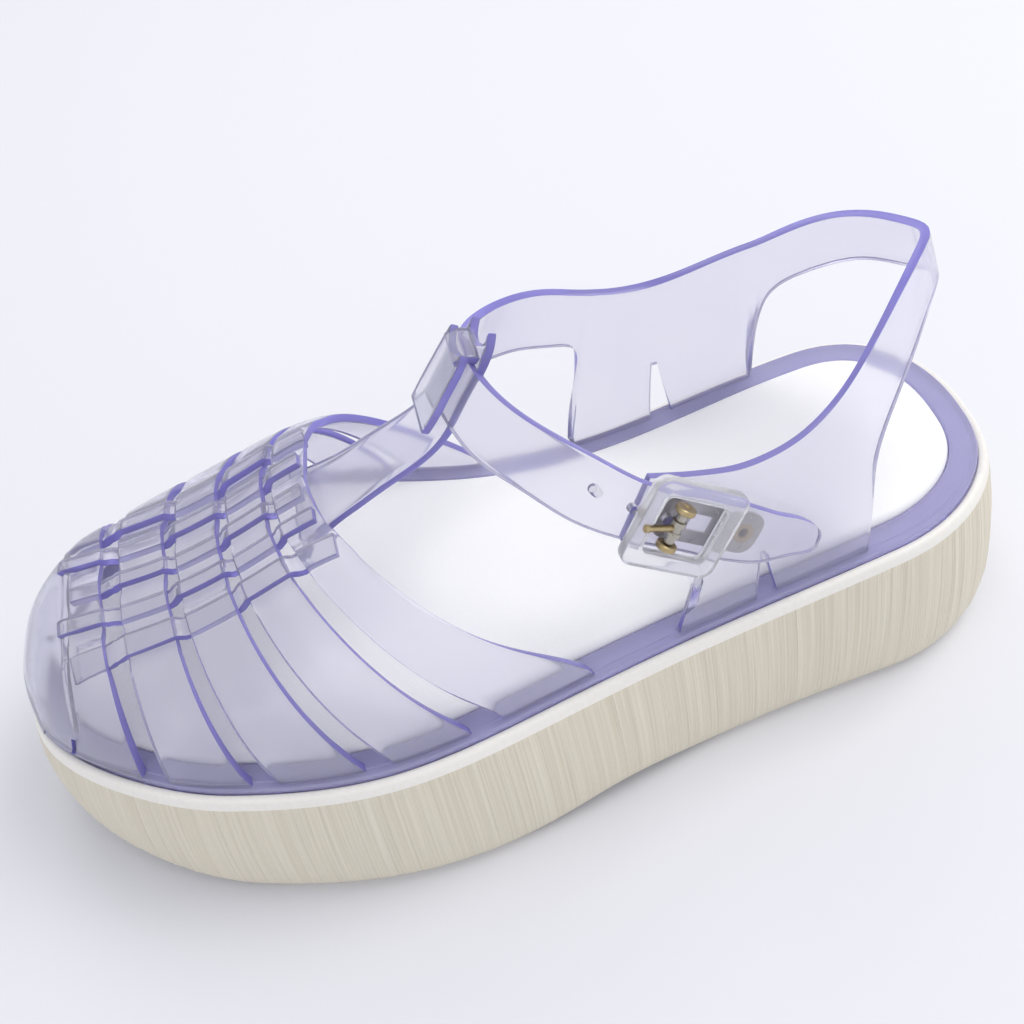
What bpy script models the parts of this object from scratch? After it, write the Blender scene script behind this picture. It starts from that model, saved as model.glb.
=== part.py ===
"""A jelly sandal for the left foot: moulded strap upper on a thick foam sole.

Metres, +Z up. The toe points to -Y and the wearer's left, the outer side, is +X.
The origin lies on the floor, under the middle of the sandal's box.
"""
import math

import bmesh
import bpy
import numpy as np
from mathutils import Matrix, Vector
from mathutils.bvhtree import BVHTree

MM = 0.001

# Sizes of the whole sandal
SOLE_LENGTH = 258 * MM      # toe to heel along the sole's top edge
BALL_WIDTH = 106 * MM       # widest place of the top edge
HEEL_WIDTH = 78 * MM        # widest place of the heel's top edge
SOLE_HEIGHT = 46.5 * MM     # floor to top edge under the heel
VAMP_RISE = 28 * MM         # woven toe above the sole's top edge
COLLAR_RISE = 58 * MM       # rim of the quarters above the sole's top edge

# Sizes that are set by themselves
LIP_WIDTH = 2.0 * MM        # foam lip left around the upper's flange
SEAT_DEPTH = 1.7 * MM       # how deep flange and insole sit in the sole
FLANGE_WIDTH = 7.0 * MM
FLANGE_PROUD = 2.0 * MM     # flange above the lip
STRAP_INSET = 3.5 * MM      # outer face of the straps, in from the top edge
STRAP_ROOT = 1.2 * MM       # straps end this high above the lip, inside the flange
INSOLE_PROUD = 3.4 * MM
INSOLE_EDGE = 2.0 * MM      # rounding of the insole's edge
WALL = 2.2 * MM             # thickness of the moulded straps
WEAVE_PROUD = 0.9 * MM      # how far an upper strand stands over a lower one
CLEAR = 0.3 * MM            # gap between pieces that touch
BOND = 0.3 * MM             # overlap where straps are moulded into one another

# Sole form
WALL_BULGE = 1.8 * MM
EDGE_ROUND = 2.6 * MM       # rounding at the ground
TOE_SPRING = 6.3 * MM
HEEL_LIFT = 3.9 * MM
ARCH_LIFT = 3.3 * MM
TREAD_DEPTH = 2.0 * MM
TREAD_WIDTH = 3.0 * MM
TREAD_MARGIN = 13 * MM      # grooves stop this far inside the outline
TREAD_FORE = (0.28, 0.31, 0.34, 0.37, 0.40, 0.43)
TREAD_HEEL = (0.68, 0.73, 0.78, 0.83)

# Buckle
FRAME_LENGTH = 25 * MM      # along the strap
FRAME_WIDTH = 23 * MM       # across the strap
FRAME_BAR = 4.2 * MM
FRAME_THICK = 3.4 * MM
FRAME_CORNER = 3.0 * MM
PLATE_THICK = 0.8 * MM
PLATE_WIDTH = 11 * MM
PLATE_WINDOW = 4.5 * MM
RIVET_HEAD = 7.0 * MM
RIVET_SHANK = 3.0 * MM
RIVET_CAP = 0.9 * MM
PRONG_WIRE = 1.8 * MM
HOLE = 2.6 * MM             # holes along the ankle strap
HOLE_PITCH = 8.2 * MM
PRONG_AT = -3.5 * MM        # prong's hole, before the buckle's middle
BUCKLE_AT = 0.645           # station of the buckle's middle
BUCKLE_RISE = 0.665         # and its height, a share of COLLAR_RISE
STRAP_FALL = 34.0           # degrees the strap drops towards the heel
RIVET_REACH = 18.5 * MM     # rivet behind the buckle's middle

STATIONS = 45               # stations from toe to heel in every outline

# Outline of the sole's top edge. at: station from toe (0) to heel (1); outer and inner:
# distance from the centre line in shares of BALL_WIDTH; top: share of SOLE_HEIGHT;
# flare: how far the ground edge stands out, a share of BALL_WIDTH.
OUTLINE_COLUMNS = ("at", "outer", "inner", "top", "flare")
OUTLINE = (
    (0.00, 0.321, 0.399, 0.731, 0.018),
    (0.10, 0.396, 0.442, 0.830, 0.038),
    (0.22, 0.492, 0.492, 0.877, 0.038),
    (0.35, 0.545, 0.457, 0.914, 0.040),
    (0.50, 0.490, 0.336, 0.940, 0.054),
    (0.65, 0.408, 0.330, 0.935, 0.044),
    (0.82, 0.357, 0.382, 1.009, 0.035),
    (1.00, 0.297, 0.386, 1.097, 0.058),
)
TOE_ROUND = (0.197, 2.13)   # length share and power of the toe's rounding
HEEL_ROUND = (0.140, 2.32)

# Crown of the vamp over the sole's top edge, in shares of VAMP_RISE.
CROWN_COLUMNS = ("at", "rise")
CROWN = (
    (0.07, 0.98),
    (0.13, 0.93),
    (0.20, 0.98),
    (0.28, 1.22),
    (0.36, 1.44),
    (0.45, 1.34),
    (0.56, 1.60),
)
CROWN_TOE = (0.073, 1.60)   # length share and power of the toe cap's rounding
CROWN_SIDE = -0.047         # the crown's distance from the centre line, share of BALL_WIDTH
SIDE_POWER = (3.20, 2.42)   # fullness of the vamp's sides at the toe and at station 0.45
CROWN_POWER = (0.90, 2.64)  # and how long its crown holds its height
TOE_START = 0.014           # station where the toe cap rises from the flange

# Cross straps of the vamp: stations of the front and rear edge on the crown (top), at the
# outer foot and at the inner foot; bend_outer and bend_inner shape the edge in between.
STRAP_COLUMNS = ("front_top", "front_outer", "front_inner", "rear_top", "rear_outer", "rear_inner")
CROSS_STRAPS = (
    (0.081, 0.046, 0.052, 0.116, 0.118, 0.118),
    (0.136, 0.144, 0.148, 0.180, 0.221, 0.219),
    (0.193, 0.247, 0.244, 0.237, 0.326, 0.316),
    (0.249, 0.352, 0.342, 0.288, 0.427, 0.412),
    (0.299, 0.459, 0.432, 0.334, 0.551, 0.513),
)
BEND_OUTER = (1.45, 1.26)   # powers for the first and the last edge
BEND_INNER = (1.45, 1.85)
TOE_SLOT = (0.70, 0.93)     # share of the way down where the toe cap leaves the first strap

# Lengthwise strands of the weave, outer side first: middle and width in shares of BALL_WIDTH,
# and whether the strand lies over the first cross strap.
STRAND_COLUMNS = ("middle", "width", "over_first")
STRANDS = (
    (0.154, 0.052, False),
    (0.061, 0.040, True),
    (-0.031, 0.038, False),
    (-0.125, 0.040, True),
    (-0.219, 0.052, False),
)

# Quarters, heel strap and ankle strap as upright sections, from the outer quarter round the
# heel and the inner quarter, through the loop and back to the buckle. side is a share of
# HEEL_WIDTH, at a station, rise a share of COLLAR_RISE; a foot row ends on the flange.
BACK_COLUMNS = ("top_side", "top_at", "top_rise", "low_side", "low_at", "low_rise")
FOOT = None
BACK = (
    (0.400, 0.628, 0.859, 0.447, 0.595, 0.610),
    (0.400, 0.638, 0.848, 0.462, 0.616, 0.500),
    (0.400, 0.644, 0.841, 0.476, 0.640, 0.385),
    (0.403, 0.651, 0.824, FOOT, 0.640, 0.0),
    (0.394, 0.702, 0.753, FOOT, 0.719, 0.0),
    (0.378, 0.729, 0.729, FOOT, 0.742, 0.0),
    (0.308, 0.785, 0.705, FOOT, 0.835, 0.0),
    (0.244, 0.822, 0.753, 0.396, 0.839, 0.254),
    (0.186, 0.849, 0.828, 0.327, 0.849, 0.440),
    (0.124, 0.874, 0.905, 0.227, 0.876, 0.570),
    (0.051, 0.901, 0.983, 0.100, 0.912, 0.698),
    (-0.019, 0.924, 1.026, -0.013, 0.940, 0.767),
    (-0.103, 0.940, 1.033, -0.109, 0.957, 0.784),
    (-0.192, 0.930, 1.019, -0.213, 0.949, 0.740),
    (-0.282, 0.911, 0.997, -0.338, 0.917, 0.710),
    (-0.367, 0.880, 0.960, -0.423, 0.872, 0.638),
    (-0.417, 0.841, 0.905, -0.481, 0.833, 0.510),
    (-0.440, 0.814, 0.860, -0.487, 0.814, 0.260),
    (-0.449, 0.795, 0.845, FOOT, 0.808, 0.0),
    (-0.468, 0.725, 0.793, FOOT, 0.718, 0.0),
    (-0.465, 0.694, 0.800, FOOT, 0.692, 0.0),
    (-0.458, 0.655, 0.840, FOOT, 0.606, 0.0),
    (-0.453, 0.642, 0.862, -0.478, 0.627, 0.562),
    (-0.442, 0.609, 0.924, -0.468, 0.600, 0.597),
    (-0.403, 0.575, 0.990, -0.420, 0.556, 0.680),
    (-0.340, 0.543, 1.040, -0.353, 0.519, 0.745),
    (-0.256, 0.519, 1.090, -0.267, 0.490, 0.830),
    (-0.160, 0.506, 1.150, -0.160, 0.473, 0.905),
    (-0.058, 0.502, 1.210, -0.051, 0.467, 0.980),
    (0.051, 0.504, 1.200, 0.051, 0.471, 0.985),
    (0.154, 0.519, 1.135, 0.180, 0.488, 0.893),
    (0.244, 0.548, 1.040, 0.276, 0.519, 0.798),
    (0.346, 0.585, 0.965, 0.404, 0.556, 0.730),
)
SLIT_OUTER = (4, 5)         # rows either side of the slit in each quarter
SLIT_INNER = (19, 20)
SLIT_TOP = 0.36             # slit's height, share of the section

# Tail of the ankle strap over the outer quarter: stations and rises of its two edges. In the
# buckle the strap is flat; behind it its outer face stands off the quarter in wall thicknesses.
TAIL_COLUMNS = ("top_at", "top_rise", "low_at", "low_rise", "stand_off")
IN_BUCKLE = None
TAIL = (
    (0.617, 0.925, 0.582, 0.705, IN_BUCKLE),
    (0.661, 0.778, 0.634, 0.557, IN_BUCKLE),
    (0.690, 0.680, 0.664, 0.450, IN_BUCKLE),
    (0.715, 0.590, 0.692, 0.362, IN_BUCKLE),
    (0.738, 0.500, 0.715, 0.308, IN_BUCKLE),
    (0.756, 0.420, 0.742, 0.263, 1.45),
    (0.775, 0.345, 0.764, 0.219, 1.40),
)

# T-bar and loop seen from the side: station and rise of the outer face, half width (share of
# BALL_WIDTH). The bar runs behind the strap, the flap in front of it, the web over it.
LOOP_COLUMNS = ("at", "rise", "half")
T_BAR = (
    (0.318, 0.570, 0.118),
    (0.337, 0.645, 0.110),
    (0.372, 0.705, 0.092),
    (0.407, 0.775, 0.086),
    (0.442, 0.845, 0.082),
    (0.4585, 0.893, 0.078),
    (0.4735, 0.960, 0.072),
    (0.491, 1.078, 0.070),
    (0.508, 1.190, 0.067),
    (0.516, 1.250, 0.058),
    (0.520, 1.280, 0.036),
)
FLAP = (
    (0.4405, 0.882, 0.064),
    (0.4590, 1.003, 0.066),
    (0.4770, 1.122, 0.064),
    (0.4940, 1.235, 0.056),
    (0.4985, 1.268, 0.036),
)
WEB = (
    (0.517, 1.215, 0.046),
    (0.507, 1.250, 0.046),
    (0.490, 1.245, 0.046),
)
LOOP_SIDE = -0.018          # middle of T-bar and loop, share of BALL_WIDTH


def column(table, columns, name):
    """One named column of a table as numbers."""
    place = columns.index(name)
    return np.array([row[place] for row in table], float)


def smooth(knots, values, where):
    """Natural cubic curve through the knots, read at the places in where."""
    knots = np.asarray(knots, float)
    values = np.asarray(values, float)
    where = np.atleast_1d(np.asarray(where, float))
    count = len(knots)
    step = np.diff(knots)
    system = np.zeros((count, count))
    right = np.zeros(count)
    system[0, 0] = 1.0
    system[-1, -1] = 1.0
    for i in range(1, count - 1):
        system[i, i - 1] = step[i - 1]
        system[i, i] = 2.0 * (step[i - 1] + step[i])
        system[i, i + 1] = step[i]
        rise_after = (values[i + 1] - values[i]) / step[i]
        rise_before = (values[i] - values[i - 1]) / step[i - 1]
        right[i] = 6.0 * (rise_after - rise_before)
    bend = np.linalg.solve(system, right)
    span = np.clip(np.searchsorted(knots, where) - 1, 0, count - 2)
    width = step[span]
    after = (where - knots[span]) / width
    before = 1.0 - after
    curve = (before ** 3 - before) * bend[span] + (after ** 3 - after) * bend[span + 1]
    return before * values[span] + after * values[span + 1] + curve * width ** 2 / 6.0


def read_outline(name, at):
    """A column of the outline table, read smoothly at the given stations."""
    knots = column(OUTLINE, OUTLINE_COLUMNS, "at")
    return smooth(knots, column(OUTLINE, OUTLINE_COLUMNS, name), at)


def end_round(at):
    """Falls to 0 at toe and heel, so that the outline closes in round ends."""
    toe, toe_power = TOE_ROUND
    heel, heel_power = HEEL_ROUND
    toe_share = np.clip(1.0 - at / toe, 0.0, 1.0)
    heel_share = np.clip(1.0 - (1.0 - at) / heel, 0.0, 1.0)
    toe_fall = (1.0 - toe_share ** toe_power) ** (1.0 / toe_power)
    heel_fall = (1.0 - heel_share ** heel_power) ** (1.0 / heel_power)
    return toe_fall * heel_fall


def station_list():
    """Stations from toe to heel, closer together at both ends."""
    turn = np.linspace(0.0, math.pi, STATIONS)
    return (1.0 - np.cos(turn)) / 2.0


def edge_height(at):
    """Height of the sole's top edge."""
    return read_outline("top", at) * SOLE_HEIGHT


def along(at):
    """Y of a station: the toe end of the top edge is at -SOLE_LENGTH / 2."""
    return (np.asarray(at, float) - 0.5) * SOLE_LENGTH


def closed_outline(inset):
    """Points of the outline moved inwards: stations and x, y, outer side first."""
    at = station_list()
    fall = end_round(at)
    outer = read_outline("outer", at) * BALL_WIDTH * fall
    inner = -read_outline("inner", at) * BALL_WIDTH * fall
    stations = np.concatenate([at, at[-2:0:-1]])
    x = np.concatenate([outer, inner[-2:0:-1]])
    y = along(stations)
    run_x = np.roll(x, -1) - np.roll(x, 1)
    run_y = np.roll(y, -1) - np.roll(y, 1)
    size = np.hypot(run_x, run_y)
    inset = np.broadcast_to(inset, x.shape)
    return stations, x - inset * run_y / size, y + inset * run_x / size


def side_point(at, side, inset, rise):
    """A point beside the top edge at one station; side is +1 outer or -1 inner."""
    step = 0.004
    name = "outer" if side > 0 else "inner"
    places = np.array([at - step, at, at + step])
    x = side * read_outline(name, places) * BALL_WIDTH * end_round(places)
    y = along(places)
    run = Vector((x[2] - x[0], y[2] - y[0], 0.0)).normalized()
    inward = Vector((-run.y, run.x, 0.0)) * side
    height = edge_height(at)[0] + rise
    return Vector((x[1], y[1], height)) + inward * inset


def material(name, colour, roughness, metallic=0.0, transmission=0.0):
    """A Principled material."""
    made = bpy.data.materials.new(name)
    made.use_nodes = True
    shader = made.node_tree.nodes["Principled BSDF"]
    shader.inputs["Base Color"].default_value = (*colour, 1.0)
    shader.inputs["Roughness"].default_value = roughness
    shader.inputs["Metallic"].default_value = metallic
    shader.inputs["Transmission Weight"].default_value = transmission
    return made


def new_object(name, mesh, group):
    made = bpy.data.objects.new(name, mesh)
    group.objects.link(made)
    return made


def mesh_from(shape, name):
    """Turn a bmesh into a mesh with its faces pointing out."""
    bmesh.ops.remove_doubles(shape, verts=shape.verts, dist=0.00001)
    bmesh.ops.recalc_face_normals(shape, faces=shape.faces)
    mesh = bpy.data.meshes.new(name)
    shape.to_mesh(mesh)
    shape.free()
    return mesh


def lofted(rings, name):
    """Closed body from rings of equal count. Each cap is bridged across, station by station."""
    shape = bmesh.new()
    rows = [[shape.verts.new(point) for point in ring] for ring in rings]
    count = len(rows[0])
    for low, high in zip(rows[:-1], rows[1:]):
        for i in range(count):
            j = (i + 1) % count
            shape.faces.new((low[i], low[j], high[j], high[i]))
    for row in (rows[0], rows[-1]):
        for i in range(STATIONS - 1):
            left = row[i]
            left_next = row[i + 1]
            right = row[(count - i) % count]
            right_next = row[count - i - 1]
            corners = []
            for corner in (left, left_next, right_next, right):
                if corner not in corners:
                    corners.append(corner)
            shape.faces.new(corners)
    return mesh_from(shape, name)


def ring_points(inset, height):
    """One ring of the outline. height is a function of the station a point ends up at."""
    stations, x, y = closed_outline(inset)
    reached = np.clip(y / SOLE_LENGTH + 0.5, 0.0, 1.0)
    return np.stack([x, y, height(reached)], axis=1)


def ground(at):
    """Underside of the sole: toe spring, arch and a lifted heel end."""
    toe_share = np.clip(1.0 - at / 0.292, 0.0, 1.0)
    heel_share = np.clip((at - 0.9) / 0.1, 0.0, 1.0)
    arch = np.exp(-((at - 0.56) / 0.075) ** 2)
    arch = np.where(arch < 0.04, 0.0, arch)
    return TOE_SPRING * toe_share ** 2 + HEEL_LIFT * heel_share ** 2 + ARCH_LIFT * arch


def make_sole(group, cutters):
    stations = closed_outline(0.0)[0]
    flare = read_outline("flare", stations) * BALL_WIDTH
    rings = []
    for share in (0.0, 0.05, 0.11, 0.2, 0.4, 0.6, 0.8, 0.95, 1.0):
        stand = flare * (1.0 - share) + WALL_BULGE * 4.0 * share * (1.0 - share)
        stand = stand - EDGE_ROUND * max(0.0, 1.0 - share / 0.17) ** 2
        rings.append(ring_points(-stand, lambda at, s=share: ground(at) * (1 - s) + edge_height(at) * s))
    rings.append(ring_points(LIP_WIDTH, edge_height))
    rings.append(ring_points(LIP_WIDTH, lambda at: edge_height(at) - SEAT_DEPTH))
    sole = new_object("sole", lofted(rings, "sole"), group)
    grooves = bmesh.new()
    for at in TREAD_FORE + TREAD_HEEL:
        outer = read_outline("outer", at)[0] * BALL_WIDTH - TREAD_MARGIN
        inner = read_outline("inner", at)[0] * BALL_WIDTH - TREAD_MARGIN
        size = Matrix.Diagonal((outer + inner, TREAD_WIDTH, TREAD_DEPTH * 2.0, 1.0))
        place = Matrix.Translation(((outer - inner) / 2.0, float(along(at)), 0.0))
        bmesh.ops.create_cube(grooves, size=1.0, matrix=place @ size)
    cutter = new_object("tread_grooves", mesh_from(grooves, "tread_grooves"), cutters)
    cut = sole.modifiers.new("tread", "BOOLEAN")
    cut.operation = "DIFFERENCE"
    cut.solver = "EXACT"
    cut.object = cutter
    sole.data.materials.append(material("moulded foam", (0.80, 0.76, 0.68), 0.75))
    return sole


def make_insole(group):
    """Footbed that lies on the sole inside the upper's flange."""
    border = LIP_WIDTH + CLEAR + FLANGE_WIDTH + CLEAR
    rings = [ring_points(border, lambda at: edge_height(at) - SEAT_DEPTH + CLEAR)]
    for turn in (0.0, 0.35, 0.7, 1.0):
        angle = turn * math.pi / 2.0
        inset = border + INSOLE_EDGE * (1.0 - math.cos(angle))
        rise = INSOLE_PROUD - INSOLE_EDGE * (1.0 - math.sin(angle))
        rings.append(ring_points(inset, lambda at, r=rise: edge_height(at) + r))
    insole = new_object("insole", lofted(rings, "insole"), group)
    insole.data.materials.append(material("footbed foam", (0.90, 0.90, 0.91), 0.6))
    return insole


def flange_mesh():
    """The upper's flange: a flat band all round, seated inside the lip."""
    outer = LIP_WIDTH + CLEAR
    inner = outer + FLANGE_WIDTH
    low = CLEAR - SEAT_DEPTH
    corners = ((outer, low), (outer, FLANGE_PROUD), (inner, FLANGE_PROUD), (inner, low))
    shape = bmesh.new()
    rings = []
    for inset, rise in corners:
        points = ring_points(inset, lambda at, r=rise: edge_height(at) + r)
        rings.append([shape.verts.new(point) for point in points])
    count = len(rings[0])
    for a, b in zip(rings, rings[1:] + rings[:1]):
        for i in range(count):
            j = (i + 1) % count
            shape.faces.new((a[i], a[j], b[j], b[i]))
    return mesh_from(shape, "flange")


def vamp_point(at, way, lift=0.0):
    """Outer face of the vamp. way runs from -1, inner foot, over the crown to +1, outer foot."""
    at = max(at, 0.002)
    toe, toe_power = CROWN_TOE
    toe_share = max(0.0, 1.0 - at / toe)
    fall = (1.0 - toe_share ** toe_power) ** (1.0 / toe_power)
    rise = smooth(*[column(CROWN, CROWN_COLUMNS, n) for n in CROWN_COLUMNS], max(at, toe))[0]
    height = rise * VAMP_RISE * fall
    foot = side_point(at, 1 if way >= 0 else -1, STRAP_INSET, STRAP_ROOT)
    crown = CROWN_SIDE * BALL_WIDTH * end_round(np.array([at]))[0]
    blend = min(at / 0.45, 1.0)
    side_power = SIDE_POWER[0] + (SIDE_POWER[1] - SIDE_POWER[0]) * blend
    crown_power = CROWN_POWER[0] + (CROWN_POWER[1] - CROWN_POWER[0]) * blend
    angle = abs(way) * math.pi / 2.0
    out = math.sin(angle) ** (2.0 / side_power)
    up = max(math.cos(angle), 0.0) ** (2.0 / crown_power)
    x = crown + (foot.x - crown) * out
    return Vector((x, float(along(at)), foot.z + height * up + lift))


def way_of(at, x):
    """The way value at which the vamp passes over a distance x from the centre line."""
    low, high = -1.0, 1.0
    for _ in range(30):
        middle = (low + high) / 2.0
        if vamp_point(at, middle).x < x:
            low = middle
        else:
            high = middle
    return (low + high) / 2.0


def edge_station(index, way):
    """Station of a cross strap's edge; even indices are front edges, odd ones rear edges."""
    row = CROSS_STRAPS[index // 2]
    first = 0 if index % 2 == 0 else 3
    top, outer, inner = row[first:first + 3]
    share = index / 9.0
    if way >= 0:
        bend = BEND_OUTER[0] + (BEND_OUTER[1] - BEND_OUTER[0]) * share
        return top + (outer - top) * way ** bend
    bend = BEND_INNER[0] + (BEND_INNER[1] - BEND_INNER[0]) * share
    return top + (inner - top) * (-way) ** bend


def vamp_mesh():
    """Toe cap, cross straps and strands as one open sheet, thickened inwards."""
    # Lines across the weave: both edges and the middle of each strand, and plain lines beside.
    strand_lines = []
    for middle, width, over in reversed(STRANDS):
        for part in (-0.5, 0.0, 0.5):
            strand_lines.append((middle + part * width) * BALL_WIDTH)
    side_steps = 7
    # Lines along the foot: (edge before, edge after, share between, kind)
    rows = []
    for part in (0.0, 0.2, 0.42, 0.64, 0.86):
        rows.append(("toe", part))
    for strap in range(5):
        rows.append(("strap", strap, 0.0))
        rows.append(("strap", strap, 0.5))
        rows.append(("strap", strap, 1.0))

    def station(row, way):
        if row[0] == "toe":
            return TOE_START + (edge_station(0, way) - TOE_START) * row[1]
        front = edge_station(row[1] * 2, way)
        rear = edge_station(row[1] * 2 + 1, way)
        return front + (rear - front) * row[2]

    shape = bmesh.new()
    grid = []
    ways = []
    for row in rows:
        # The toe cap keeps the lines of the first strap, since it narrows to a point.
        where = max(station(row, 0.0), edge_station(0, 0.0))
        lines = [way_of(where, x) for x in strand_lines]
        inner_side = [-1.0 + (lines[0] + 1.0) * i / side_steps for i in range(side_steps)]
        outer_side = [lines[-1] + (1.0 - lines[-1]) * (i + 1) / side_steps for i in range(side_steps)]
        line_ways = inner_side + lines + outer_side
        ways.append(line_ways)
        points = []
        for j, way in enumerate(line_ways):
            lift = 0.0
            strand = (j - side_steps) // 3
            in_strand = 0 <= j - side_steps < 15
            if row[0] == "strap" and row[2] == 0.5 and in_strand and (j - side_steps) % 3 == 1:
                over_first = STRANDS[4 - strand][2]
                over = over_first if row[1] % 2 == 0 else not over_first
                lift = WEAVE_PROUD if over else 0.0
            points.append(shape.verts.new(vamp_point(station(row, way), way, lift)))
        grid.append(points)
    # The front closes down to the flange along the toe's outline.
    stations, outline_x, outline_y = closed_outline(STRAP_INSET)
    near = stations < 0.2
    order = np.argsort(outline_x[near])
    front_x = outline_x[near][order]
    front_y = outline_y[near][order]
    front = [grid[0][0]]
    for upper in grid[0][1:-1]:
        y = float(np.interp(upper.co.x, front_x, front_y))
        front.append(shape.verts.new((upper.co.x, y, grid[0][0].co.z)))
    front.append(grid[0][-1])
    for j in range(len(front) - 1):
        corners = [front[j], front[j + 1], grid[0][j + 1], grid[0][j]]
        corners = [c for k, c in enumerate(corners) if c not in corners[:k]]
        shape.faces.new(corners)
    for i in range(len(rows) - 1):
        between = rows[i][0] == "strap" and rows[i][2] == 1.0
        before_first = rows[i][0] == "toe" and rows[i + 1][0] == "strap"
        for j in range(len(grid[0]) - 1):
            strand_cell = 0 <= j - side_steps < 14 and (j - side_steps) % 3 != 2
            way = abs((ways[i][j] + ways[i][j + 1]) / 2.0)
            if between and not strand_cell:
                continue
            if before_first and TOE_SLOT[0] < way < TOE_SLOT[1]:
                continue
            corners = (grid[i][j], grid[i][j + 1], grid[i + 1][j + 1], grid[i + 1][j])
            shape.faces.new(corners)
    return shape


def back_points():
    """Top and low point of every upright section from the outer quarter to the buckle."""
    pairs = []
    for top_side, top_at, top_rise, low_side, low_at, low_rise in BACK:
        top = Vector((top_side * HEEL_WIDTH, float(along(top_at)),
                      edge_height(top_at)[0] + top_rise * COLLAR_RISE))
        if low_side is FOOT:
            low = side_point(low_at, 1 if top_side > 0 else -1, STRAP_INSET, STRAP_ROOT)
        else:
            low = Vector((low_side * HEEL_WIDTH, float(along(low_at)),
                          edge_height(low_at)[0] + low_rise * COLLAR_RISE))
        pairs.append((top, low))
    return pairs


def quarter_guide():
    """The outer quarter's outer face without its slit, to lay buckle and strap tail on."""
    shape = bmesh.new()
    pairs = back_points()[:10]
    rows = []
    for top, low in pairs:
        rows.append([shape.verts.new(low.lerp(top, step / 12.0)) for step in range(13)])
    for here, after in zip(rows[:-1], rows[1:]):
        for j in range(12):
            shape.faces.new((here[j], after[j], after[j + 1], here[j + 1]))
    tree = BVHTree.FromBMesh(shape)
    shape.free()
    return tree


def on_quarter(guide, y, z):
    """The point of the outer quarter straight in from the side."""
    hit = guide.ray_cast(Vector((0.2, y, z)), Vector((-1.0, 0.0, 0.0)))[0]
    if hit is None:
        hit = guide.find_nearest(Vector((0.036, y, z)))[0]
    return hit


def quarter_level(guide, place, x, y):
    """Height of the quarter's outer face over the buckle's level, at x, y in the buckle."""
    spot = place @ Vector((x, y, 0.0))
    return (place.inverted() @ on_quarter(guide, spot.y, spot.z)).z


def quarter_point(guide, at, rise, reach=3 * MM):
    """Outer face and outward normal of the outer quarter at a station and a rise."""
    y = float(along(at))
    z = edge_height(at)[0] + rise * COLLAR_RISE
    back = on_quarter(guide, y + reach, z) - on_quarter(guide, y - reach, z)
    up = on_quarter(guide, y, z + reach) - on_quarter(guide, y, z - reach)
    return on_quarter(guide, y, z), back.cross(up).normalized()


def buckle_frame():
    """Matrix at the buckle: x runs back along the strap, y across it upwards, z outwards.

    Its level 0 touches the highest place of the quarter under the plate.
    """
    guide = quarter_guide()
    origin, outward = quarter_point(guide, BUCKLE_AT, BUCKLE_RISE, 7 * MM)
    level = Vector((0.0, 1.0, 0.0))
    level = (level - outward * level.dot(outward)).normalized()
    back = Matrix.Rotation(math.radians(-STRAP_FALL), 3, outward) @ level
    across = outward.cross(back)
    highest = 0.0
    for along_share in np.linspace(-0.24, 0.95, 18):
        for across_share in np.linspace(-0.55, 0.55, 9):
            spot = origin + back * (along_share * FRAME_LENGTH) + across * (across_share * PLATE_WIDTH)
            touched = on_quarter(guide, spot.y, spot.z)
            highest = max(highest, (touched - origin).dot(outward))
    turn = Matrix((back, across, outward)).transposed().to_4x4()
    return Matrix.Translation(origin + outward * highest) @ turn


def back_mesh():
    """Quarters, heel strap and ankle strap as one open sheet."""
    pairs = back_points()
    guide = quarter_guide()
    place = buckle_frame()
    flat = place.inverted()
    strap_face = CLEAR + PLATE_THICK + CLEAR + WALL
    for top_at, top_rise, low_at, low_rise, stand in TAIL:
        ends = []
        for at, rise in ((top_at, top_rise), (low_at, low_rise)):
            spot, outward = quarter_point(guide, at, rise)
            if stand is IN_BUCKLE:
                spot = flat @ spot
                spot.z = strap_face
                ends.append(place @ spot)
            else:
                ends.append(spot + outward * (stand * WALL))
        pairs.append(tuple(ends))
    shares = (0.0, 0.18, SLIT_TOP, 0.52, 0.68, 0.84, 1.0)
    shape = bmesh.new()
    grid = []
    for top, low in pairs:
        grid.append([shape.verts.new(low.lerp(top, share)) for share in shares])
    for i in range(len(grid) - 1):
        for j in range(len(shares) - 1):
            in_slit = (i, i + 1) in (SLIT_OUTER, SLIT_INNER) and shares[j] < SLIT_TOP
            if in_slit:
                continue
            corners = (grid[i][j], grid[i + 1][j], grid[i + 1][j + 1], grid[i][j + 1])
            shape.faces.new(corners)
    return shape


def strip_mesh(table):
    """A strip over the instep from a side view table: station, rise and half width."""
    shape = bmesh.new()
    middle = LOOP_SIDE * BALL_WIDTH
    rows = []
    for at, rise, half in table:
        height = edge_height(at)[0] + rise * COLLAR_RISE
        row = []
        for part in (-1.0, -0.5, 0.0, 0.5, 1.0):
            x = middle + part * half * BALL_WIDTH
            drop = 0.05 * half * BALL_WIDTH * part * part
            row.append(shape.verts.new((x, float(along(at)), height - drop)))
        rows.append(row)
    for low, high in zip(rows[:-1], rows[1:]):
        for j in range(4):
            shape.faces.new((low[j], low[j + 1], high[j + 1], high[j]))
    return shape


def thick_sheet(shape, name, group, guide, up=False):
    """Give an open sheet its wall on the side away from guide, which looks at its outer face."""
    bmesh.ops.recalc_face_normals(shape, faces=shape.faces)
    shape.faces.ensure_lookup_table()
    face = max(shape.faces, key=lambda f: f.calc_center_median().dot(guide))
    if face.normal.dot(guide) < 0:
        bmesh.ops.reverse_faces(shape, faces=shape.faces)
    mesh = bpy.data.meshes.new(name)
    shape.to_mesh(mesh)
    shape.free()
    made = new_object(name, mesh, group)
    shell = made.modifiers.new("wall", "SOLIDIFY")
    shell.thickness = WALL
    shell.offset = -1.0
    return made


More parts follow.
